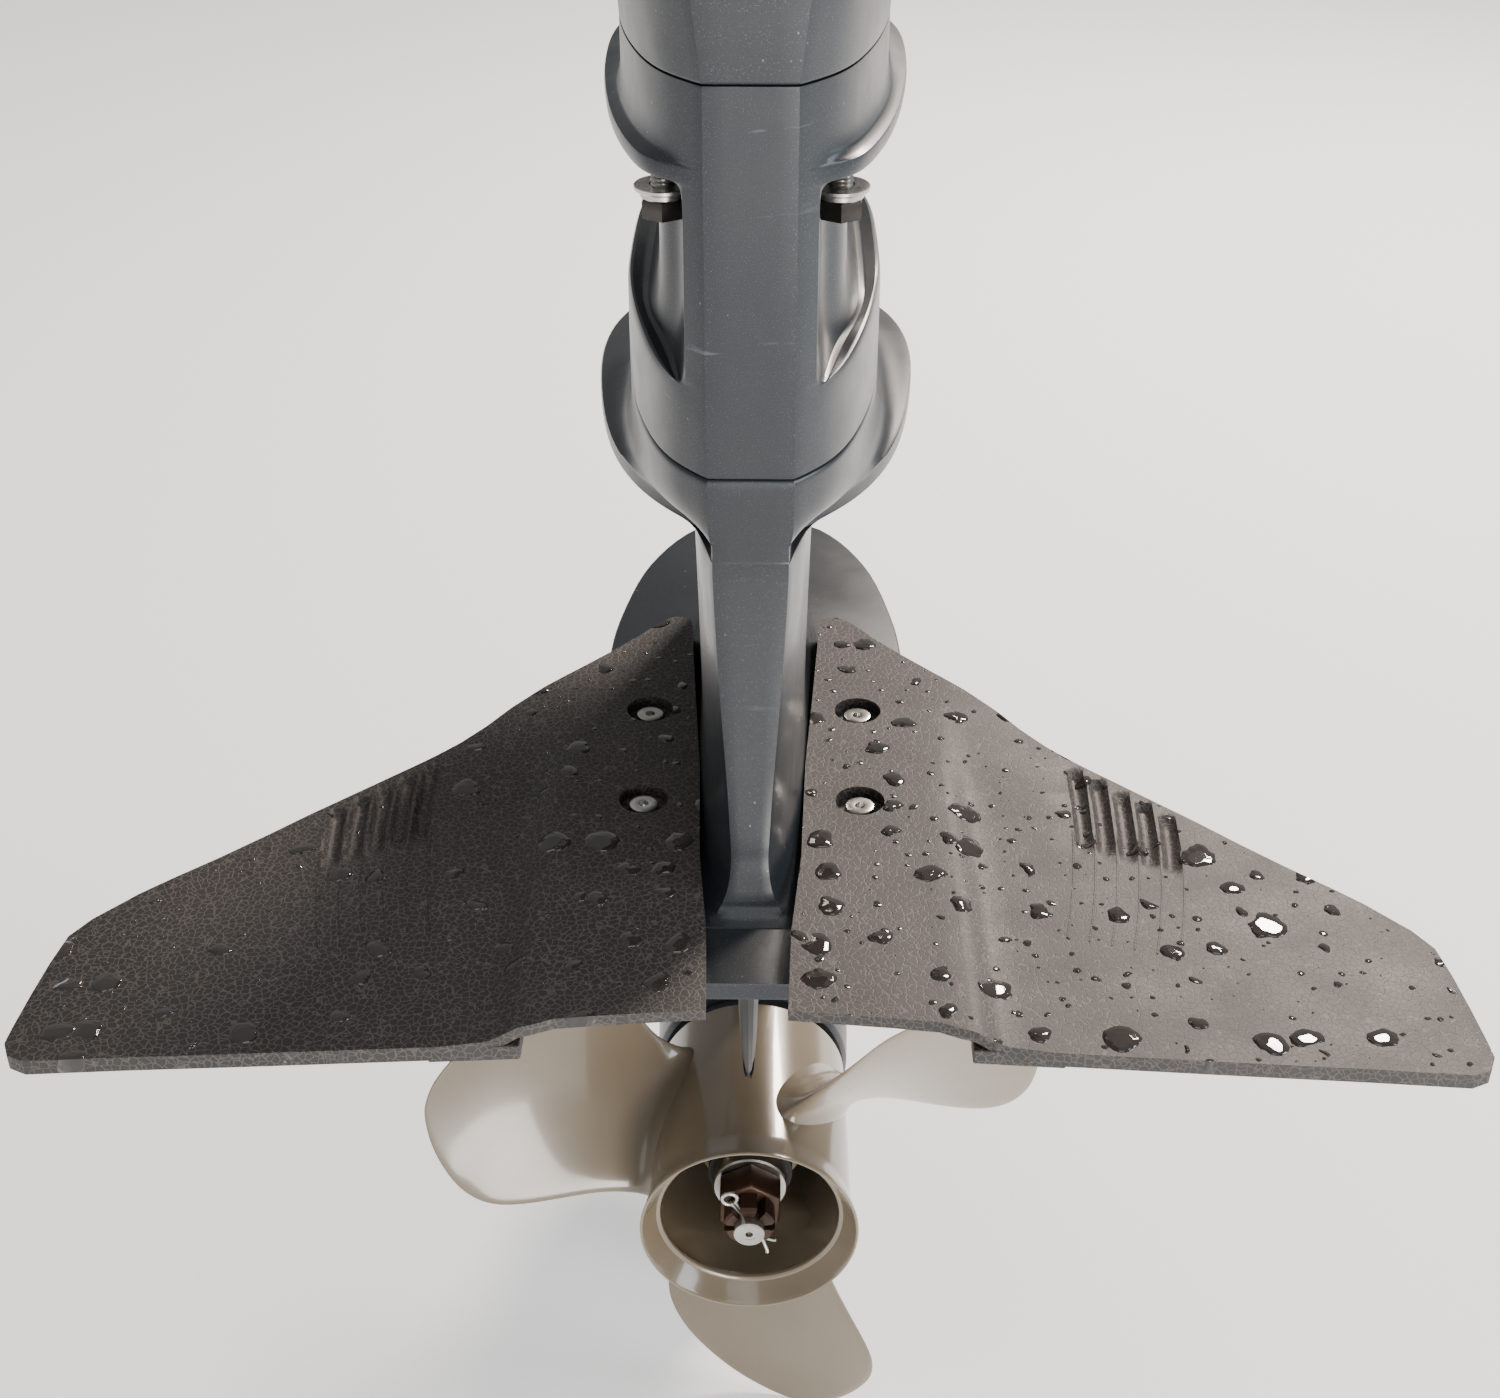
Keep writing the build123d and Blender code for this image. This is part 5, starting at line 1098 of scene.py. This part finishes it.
def make_propeller_nut():
    """Castellated nut, its cotter pin, the washer behind it and the shaft's centred end."""
    bm = bmesh.new()
    corner = NUT_ACROSS_FLATS / math.sqrt(3) * MM
    made = bmesh.ops.create_cone(
        bm, cap_ends=True, segments=HEX_STEPS, radius1=corner, radius2=corner,
        depth=(NUT_FRONT - NUT_SHOULDER) * MM,
        matrix=Matrix.Translation((0, ahead((NUT_FRONT + NUT_SHOULDER) / 2), PROP_Z))
        @ Matrix.Rotation(math.radians(PIN_TURN), 4, "Y") @ Matrix.Rotation(math.radians(90), 4, "X"),
    )
    rims = {edge for vert in made["verts"] for edge in vert.link_edges}
    rims = [edge for edge in rims if abs(edge.verts[0].co.y - edge.verts[1].co.y) < 1e-7]
    bmesh.ops.bevel(bm, geom=rims, offset=1.4 * MM, segments=3, profile=0.5, affect="EDGES")
    for number in range(CROWN_LUGS):
        start = PIN_TURN + 60 * number + 10.5
        corners = [
            (CROWN_BORE_R, NUT_SHOULDER + 1), (CROWN_R, NUT_SHOULDER + 1), (CROWN_R, NUT_REAR + 1),
            (CROWN_R - 1, NUT_REAR), (CROWN_BORE_R, NUT_REAR),
        ]
        verts = [bm.verts.new(across_shaft(start, radius, y)) for radius, y in corners]
        face = bm.faces.new(verts)
        bmesh.ops.spin(
            bm, geom=[face], cent=(0, 0, PROP_Z), axis=(0, -1, 0), angle=math.radians(39), steps=6,
            use_duplicate=False,
        )
    piece(bm, "propeller_castle_nut", "prop", "brown_nut", ["castle_nut"])
    bm = bmesh.new()
    loop = across_shaft(PIN_TURN, 14.5, NUT_PIN_AT)
    out = (across_shaft(PIN_TURN, 20, NUT_PIN_AT) - loop).normalized()
    turn_way = out.cross(Vector((0, 1, 0)))
    eye = [loop - out * 2.6 * MM + turn_way * 0.9 * MM]
    for step in range(11):
        angle = math.radians(150 - 30 * step)
        eye.append(loop + (out * math.cos(angle) + turn_way * math.sin(angle)) * PIN_LOOP_R * MM)
    eye.append(loop - out * 2.6 * MM - turn_way * 0.9 * MM)
    tube(bm, eye, 0.9)
    for way in (1, -1):
        shift = turn_way * way * 0.85 * MM
        leg = [across_shaft(PIN_TURN, radius, NUT_PIN_AT) + shift for radius in (12.5, 6, 0, -6, -11.5)]
        bend = across_shaft(PIN_TURN, -15.5, NUT_PIN_AT - 2.0 * way) + shift * 1.5
        leg += [bend, bend + (bend - leg[-1]) * 0.2 + turn_way * way * 0.5 * MM]
        tube(bm, leg, 0.85)
    piece(bm, "propeller_cotter_pin", "prop", "stainless", ["cotter_pin"])
    bm = bmesh.new()
    start = Vector((0, ahead(NUT_FRONT), PROP_Z))
    washer = [(6.2, 8), (15, 8), (15, 0.6), (14.4, 0), (10, 0), (6.2, 0), (6.2, 8)]
    revolve(bm, washer, start, FORWARD, steps=48)
    piece(bm, "propeller_rear_washer", "prop", "stainless", ["rear_spacer"])
    bm = bmesh.new()
    shaft_end = [
        (6.05, 4), (6.05, 0.5), (5.5, -0.15), (2.9, -0.15), (2.5, 0.4), (1.9, 1.6), (1.45, 1.8),
        (1.45, 4),
    ]
    revolve(bm, shaft_end, Vector((0, shaft_low[1], PROP_Z)), FORWARD, steps=36)
    piece(bm, "propeller_shaft_end", "prop", "stainless")


# height, half thickness, rear edge, front edge of the tab's fin
TAB_SECTIONS = [
    (-8, 3.6, -59, -33), (-14, 3.5, -59.5, -36), (-26, 3.1, -60, -40), (-36, 2.7, -57.5, -43),
    (-46, 2.2, -54, -45.5), (-51, 1.8, -52.3, -46.5), (-53.8, 0.9, -51, -48.5),
]


def make_trim_tab():
    """Trim tab: a round flange under the plate's tail and a tapered fin with a ridge down its rear."""
    bm = bmesh.new()
    rings = []
    for z, half, rear, front in TAB_SECTIONS:
        points = [
            (0, rear), (half * 0.55, rear + 1.2), (half, rear + 5), (half, front - 4),
            (half * 0.6, front - 1),
            (0, front),
        ]
        rings.append(whole_ring(points, level(points, z)))
    loft(bm, rings)
    flange = [(3.2, 0), (7.4, 0), (8, -0.6), (8, -4.4), (7.4, -5), (3.2, -5), (3.2, 0)]
    revolve(bm, flange, (0, ahead(-30), above(-7.3)), UP, steps=36)
    piece(bm, "trim_tab_fin", "trim_tab", "black_plastic", ["trim_tab"], rounding=0.4)


# ---------------------------------------------------------------- cowls
cowl_low, cowl_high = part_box("top_cowl")
COWL_HALF = cowl_high[0] / MM
COWL_REAR, COWL_FRONT = cowl_low[1] / MM, cowl_high[1] / MM
CROWN_FROM = 24.0  # past this inset the outline shrinks towards its middle instead


def cowl_ring(inset, z):
    """Cowl outline seen from above, moved in by an inset, at a height, both in millimetres."""
    kept = min(inset, CROWN_FROM)
    rear, front, half = COWL_REAR + kept, COWL_FRONT - kept, COWL_HALF - kept
    side = [
        (45, rear), (74, rear + 5), (half - 24, rear + 20), (half - 11, rear + 42), (half - 3, rear + 78),
        (half, rear + 125), (half, rear + 190), (half - 3, front - 95), (half - 12, front - 66),
        (half - 34, front - 34), (half - 58, front - 13), (28, front),
    ]
    points = both_sides([(0, rear), (22, rear)] + side + [(0, front)])
    middle, reach = (rear + front) / 2, (front - rear) / 2
    share_x = (half + kept - inset) / half
    share_y = (reach + kept - inset) / reach
    return [(x * share_x * MM, (middle + (y - middle) * share_y) * MM, z * MM) for x, y in points]


COWL_OUTSIDE = [
    (1.6, 132.2), (0.3, 132.6), (0, 134), (0, 150), (-0.4, 190), (-0.3, 240), (0.8, 290), (2.2, 322),
    (2.6, 327), (4.2, 329), (4.6, 332), (8.5, 360), (14.5, 384), (21.5, 401), (30, 414), (40, 423),
    (52, 428.5), (68, 431), (86, 431.8),
]
COWL_SHELL = 3.6
GRILLE_OUT, GRILLE_T = 3.5, 11.5  # how far the grille stands out of the cowl's rear, its depth
LOUVRES, LOUVRE_T = (292, 299, 306, 313), 1.4
COWL_GRIP = [
    (-42, -343, 378), (-40, -357, 372), (-34, -361, 370), (34, -361, 370), (40, -357, 372),
    (42, -343, 378),
]


def make_top_cowl():
    """Top cowl: a domed shell with a step round its crown, a grille and a hand grip at the rear."""
    bm = bmesh.new()
    inside = []
    for inset, z in COWL_OUTSIDE[2:-1]:
        inside.append((inset + COWL_SHELL, z - COWL_SHELL if inset > 20 else z))
    rings = [cowl_ring(inset, z) for inset, z in inside[::-1] + COWL_OUTSIDE]
    loft(bm, rings)
    crease(bm, 50, 0.6)
    piece(bm, "top_cowl_shell", "top_cowl", "cowl_paint", ["top_cowl"], levels=2)
    bm = bmesh.new()
    rear = COWL_REAR - GRILLE_OUT
    panel = [(-56, 284), (56, 284), (50, 322), (-50, 322)]
    thicken(bm, [(x * MM, rear * MM, z * MM) for x, z in panel], (0, GRILLE_T * MM, 0))
    rear_face = min(bm.faces, key=lambda face: face.calc_center_median().y)
    bmesh.ops.inset_region(bm, faces=[rear_face], thickness=4 * MM)
    rear_face = min(bm.faces, key=lambda face: (round(face.calc_center_median().y, 6), face.calc_area()))
    bmesh.ops.inset_region(bm, faces=[rear_face], thickness=0.4 * MM, depth=-6 * MM)
    for z in LOUVRES:
        blade = [(-52, rear + 0.8, z), (52, rear + 0.8, z), (52, rear + 7, z + 4), (-52, rear + 7, z + 4)]
        thicken(bm, [Vector(point) * MM for point in blade], (0, 0, LOUVRE_T * MM))
    piece(bm, "top_cowl_grille", "top_cowl", "black_plastic", rounding=0.5)
    bm = bmesh.new()
    tube(bm, [Vector(point) * MM for point in COWL_GRIP], 6, steps=16)
    piece(bm, "top_cowl_grip", "top_cowl", "rubber", levels=1)


BOTTOM_OUTSIDE = [
    (16, 72), (12, 72.2), (10, 73.4), (8.6, 78), (5.6, 92), (3, 108), (1.2, 120), (0.5, 124.5),
    (0.4, 127), (1.6, 128),
]
# behind or ahead of the cowl's rear and of its front, height
LATCH_LUG = [(-11, 90), (-11, 102), (12, 106), (12, 84), (2, 84)]
TILLER_PAD = [(-8, 86), (-8, 127), (0.4, 127), (0.4, 86)]
BOTTOM_INSIDE = [(5.2, 128), (5, 120), (8, 100), (12.5, 80), (18, 77.2)]


def make_bottom_cowl():
    """Bottom cowl: a shallow pan with a rolled rim, its latch lugs and the tiller's pad."""
    bm = bmesh.new()
    rings = [cowl_ring(inset, z) for inset, z in BOTTOM_OUTSIDE + BOTTOM_INSIDE]
    loft(bm, rings)
    crease(bm, 50, 0.6)
    piece(bm, "bottom_cowl_pan", "midsection", "cowl_paint", ["bottom_cowl"], levels=2)
    bm = bmesh.new()
    for side in (1, -1):
        low, high = sorted((side * 17, side * 22))
        side_plate(bm, [(COWL_REAR + y, z) for y, z in LATCH_LUG], low, high)
    piece(bm, "cowl_latch_lugs", "midsection", "cowl_paint", rounding=1.0)
    bm = bmesh.new()
    side_plate(bm, [(COWL_FRONT + y, z) for y, z in TILLER_PAD], -28, 28)
    piece(bm, "tiller_pad", "midsection", "cowl_paint", rounding=1.2)


# ---------------------------------------------------------------- clamp brackets
CLAMP_INNER, CLAMP_OUTER = 60, 74.0
CLAMP_OUTLINE = [
    (0, 0), (0, -212), (-22, -214), (-62, -172), (-62, -110), (-52, -40), (-35, 20), (-20, 50),
    (12, 53), (60, 42), (78, 22), (80, -98), (72, -112), (58, -112), (50, -98), (50, 0),
]
RIB_OUTLINE = [(-8, -30), (-8, -196), (-22, -200), (-52, -168), (-52, -112), (-42, -36)]
CLAMP_HOOK = [(0, 0), (0, 8), (50, 8), (50, 0)]
CLAMP_FOOT = [(-8, -205), (-8, -140), (0, -140), (0, -205)]
TILT_Y, TILT_Z = -8, 30.0
SCREW_Z = -75.0
APRON_LOW, APRON_HIGH = 46.5, 73.0


def make_apron():
    """Rubber skirt between the bottom cowl's underside and the housing's top flange."""
    bm = bmesh.new()
    outer = [(-62, -264), (62, -264), (62, -112), (-62, -112)]
    inner = [(-57, -259), (57, -259), (57, -117), (-57, -117)]
    levels = [
        (outer, APRON_LOW), (outer, APRON_HIGH), (inner, APRON_HIGH), (inner, APRON_LOW),
        (outer, APRON_LOW),
    ]
    rings = [[(x * MM, y * MM, z * MM) for x, y in outline] for outline, z in levels]
    loft(bm, rings, closed=False)
    piece(bm, "housing_apron", "midsection", "rubber")


def make_clamp_brackets():
    """Clamp brackets: ribbed hooks over the transom with bosses for the tilt tube and the screws."""
    for side, name in ((1, "starboard"), (-1, "port")):
        bm = bmesh.new()
        side_plate(bm, CLAMP_OUTLINE, side * CLAMP_INNER, side * CLAMP_OUTER)
        side_plate(bm, RIB_OUTLINE, side * (CLAMP_OUTER - 1), side * (CLAMP_OUTER + 2.5))
        for flange in (CLAMP_HOOK, CLAMP_FOOT):
            side_plate(bm, flange, side * (CLAMP_INNER - 1), side * (CLAMP_OUTER + 10))
        middle = side * (CLAMP_INNER + CLAMP_OUTER) / 2 * MM
        boss = [
            (6.1, 0), (14, 0), (14, 29), (13, 31.5), (11, 32), (6.1, 32), (6.1, 0),
        ]
        revolve(bm, boss, (middle, 50 * MM, SCREW_Z * MM), FORWARD, steps=40)
        hub = [
            (11.1, -8.6), (19, -8.6), (21, -6.6), (21, 6.6), (19, 8.6), (11.1, 8.6), (11.1, -8.6),
        ]
        revolve(bm, hub, (middle, TILT_Y * MM, TILT_Z * MM), STARBOARD, steps=48)
        piece(
            bm, f"clamp_bracket_{name}_casting", "clamp", "casing_paint", [f"clamp_bracket_{name}"],
            rounding=2.2, segments=3,
        )


CLAMP_THREADS, CLAMP_THREAD_PITCH = 34, 2


def make_clamp_screws():
    """Clamp screws with rolled threads and swivelling tommy bars, and their pads."""
    for side, name in ((1, "starboard"), (-1, "port")):
        middle = side * (CLAMP_INNER + CLAMP_OUTER) / 2
        bm = bmesh.new()
        rod = [(0, 44.5), (4.5, 44.5), (4.5, 49)]
        for turn in range(CLAMP_THREADS):
            foot = 49.5 + turn * CLAMP_THREAD_PITCH
            rod += [(5.3, foot), (6, foot + 0.7), (6, foot + 1.3)]
        rod += [(5.3, 118), (9, 120), (9.6, 123), (9.6, 133), (8.6, 136), (0, 136.6)]
        revolve(bm, rod, (middle * MM, 0, SCREW_Z * MM), FORWARD, steps=28)
        handle = [(0, -41), (4, -40.4), (6.2, -37.6), (6.6, -34.5), (5.4, -31.4), (4, -30)]
        handle += [(radius, -along) for radius, along in handle[::-1]]
        revolve(bm, handle, (middle * MM, 128 * MM, SCREW_Z * MM), STARBOARD, steps=28)
        piece(bm, f"clamp_screw_{name}_rod", f"screw_{name}", "stainless", [f"clamp_screw_{name}"])
        bm = bmesh.new()
        pad = [
            (0, 42.1), (15.6, 42), (17, 43.2), (17, 45), (15.8, 46.4), (9, 47.4), (6.4, 48), (4.6, 48),
            (4.6, 44.2), (0, 44.2),
        ]
        revolve(bm, pad, (middle * MM, 0, SCREW_Z * MM), FORWARD, steps=40)
        piece(bm, f"clamp_pad_{name}_disc", f"pad_{name}", "stainless", [f"clamp_pad_{name}"])


# ---------------------------------------------------------------- tiller and lever
TILLER_Y, TILLER_Z, STOP_Y = 10, 106, 306.0
# ahead, half width, half height of the arm
ARM_SECTIONS = [
    (24, 16.8, 14), (34, 16.6, 13.6), (70, 14.2, 12), (140, 13.2, 11.4), (230, 13.2, 11.6),
    (280, 14.2, 12.6), (318, 15, 13.2), (326, 15, 13.2), (329.6, 14, 12.2),
]


ARM_STEPS = 24
# ahead, radius, height of the flutes
GRIP_SECTIONS = [
    (331.2, 13, 0), (331.6, 16.6, 0), (333, 18.6, 0), (338, 18.8, 0), (341, 17.4, 0), (343, 17.4, 0.9),
    (436, 16.6, 0.9), (439, 16.8, 0), (442, 18.4, 0), (447, 18.2, 0), (449.6, 15.6, 0), (450, 11, 0),
]
GRIP_FLUTES = 18
GRIP_STEPS = 6 * GRIP_FLUTES


def make_tiller():
    """Tiller arm, its ribbed twist grip and the stop button with its collar."""
    bm = bmesh.new()
    barrel = [
        (5.1, -17), (13.6, -17), (15, -15.6), (15, 15.6), (13.6, 17), (5.1, 17), (5.1, -17),
    ]
    revolve(bm, barrel, (0, TILLER_Y * MM, TILLER_Z * MM), STARBOARD, steps=40)
    piece(bm, "tiller_pivot_barrel", "tiller", "casing_paint")
    bm = bmesh.new()
    rings = []
    for y, half, high in ARM_SECTIONS:
        ring = []
        for step in range(ARM_STEPS):
            turn = math.tau * step / ARM_STEPS
            x, z = half * squared(math.cos(turn), 0.55), high * squared(math.sin(turn), 0.55)
            ring.append((x * MM, y * MM, (TILLER_Z + z) * MM))
        rings.append(ring)
    loft(bm, rings)
    piece(bm, "tiller_arm_casting", "tiller", "casing_paint", ["tiller_arm"], levels=1, sharp=50)
    bm = bmesh.new()
    rings = []
    for y, radius, flute in GRIP_SECTIONS:
        ring = []
        for step in range(GRIP_STEPS):
            turn = math.tau * step / GRIP_STEPS
            reach = radius + flute * squared(math.cos(GRIP_FLUTES * turn), 0.5)
            ring.append((reach * math.cos(turn) * MM, y * MM, (TILLER_Z + reach * math.sin(turn)) * MM))
        rings.append(ring)
    loft(bm, rings)
    piece(bm, "tiller_twist_grip", "grip", "rubber", ["throttle_grip"])
    bm = bmesh.new()
    stop = (0, STOP_Y * MM, TILLER_Z * MM)
    revolve(bm, [
        (0, 6), (7.9, 6), (7.9, 16.8), (10.4, 17), (11, 17.8), (10.6, 19.4), (8, 20.2), (0, 19.2),
    ], stop, UP)
    piece(bm, "stop_button_cap", "stop_button", "red_plastic", ["stop_button"])
    bm = bmesh.new()
    revolve(bm, [
        (8.3, 11), (12.6, 11), (12.2, 12.6), (11.2, 13.3), (8.3, 13.3), (8.3, 11),
    ], stop, UP)
    piece(bm, "stop_button_collar", "tiller", "black_plastic")


LEVER_Y, LEVER_Z = -110, 104.0


def make_shift_lever():
    """Shift lever with a boss, a cranked blade and a rounded knob."""
    bm = bmesh.new()
    pivot = (0, LEVER_Y * MM, LEVER_Z * MM)
    revolve(bm, [
        (0, 90), (4.9, 90), (4.9, 117.5), (12, 118), (13, 119.2), (13, 127), (11.6, 128.4), (0, 128.6),
    ], pivot, STARBOARD)
    blade = [
        (LEVER_Y - 8, LEVER_Z), (LEVER_Y - 6, LEVER_Z + 84), (LEVER_Y + 6, LEVER_Z + 84),
        (LEVER_Y + 8, LEVER_Z),
    ]
    side_plate(bm, blade, 119.5, 126.5)
    knob = [
        (0, 115.8), (7, 116), (11, 118), (12.4, 121), (12.4, 126), (11, 130), (7, 131.8), (0, 132.2),
    ]
    revolve(bm, knob, (0, LEVER_Y * MM, (LEVER_Z + 88) * MM), STARBOARD, steps=40)
    piece(bm, "shift_lever_arm", "shift_lever", "black_plastic", ["shift_lever"], rounding=0.8)


# ---------------------------------------------------------------- run
add_camera()
make_housing()
make_extension()
make_lower_unit()
make_gear_barrel()
make_foils()
make_foil_scores()
make_foil_bolts()
make_case_bolts()
make_propeller()
make_propeller_nut()
make_trim_tab()
make_bottom_cowl()
make_top_cowl()
make_apron()
make_clamp_brackets()
make_clamp_screws()
make_tiller()
make_shift_lever()


def dress_cad_nodes():
    """Gives every CAD node that still shows the finish of its slot."""
    slots = {entry["node"]: entry["material_slot"] for entry in frame["record"]["subparts"]}
    for name, node in frame["nodes"].items():
        finish = FINISH[slots[name]]
        if not node.material_slots:
            node.data.materials.append(finish)
        for material_slot in node.material_slots:
            material_slot.material = finish


dress_cad_nodes()


FLOOR_HALF, FLOOR_GAP = 12.0, 0.002
SURROUND = 0.34
# name, place in metres, aim as (ahead, above), size, power, colour
LIGHTS = [
    ("key", (1.0, 1.6, 1.05), (60, 0), 0.5, 95.0, (1.0, 0.87, 0.77)),
    ("side", (1.9, -0.5, 0.3), (60, 0), 0.9, 24.0, (0.88, 0.95, 1.0)),
    ("low_rear", (0.55, -2.4, -0.5), (0, 40), 0.7, 30.0, (1.0, 0.95, 0.9)),
    ("fill", (-1.4, -1.9, 0.7), (60, 0), 1.2, 4.0, (0.86, 0.93, 1.0)),
    ("overhead", (0.2, -0.9, 1.9), (60, 0), 1.4, 12.0, (1.0, 1.0, 1.0)),
]


def add_studio():
    """Pale floor, white surround and soft lights: the brightest from ahead and to starboard."""
    bm = bmesh.new()
    bmesh.ops.create_grid(bm, x_segments=1, y_segments=1, size=FLOOR_HALF)
    bmesh.ops.translate(bm, verts=bm.verts[:], vec=(0, 0, cad_box[0][2] - FLOOR_GAP))
    mesh = bpy.data.meshes.new("floor")
    bm.to_mesh(mesh)
    bm.free()
    mesh.materials.append(studio_floor())
    floor = bpy.data.objects.new("floor", mesh)
    bpy.context.scene.collection.objects.link(floor)
    for name, place, (aim_ahead, aim_above), size, power, colour in LIGHTS:
        target = (0.0, ahead(aim_ahead), above(aim_above))
        add_area_light(name, place, target, size, power, colour)
    world = bpy.data.worlds.new("studio")
    world.use_nodes = True
    world.node_tree.nodes["Background"].inputs["Color"].default_value = (1, 1, 1, 1)
    world.node_tree.nodes["Background"].inputs["Strength"].default_value = SURROUND
    bpy.context.scene.world = world


add_studio()
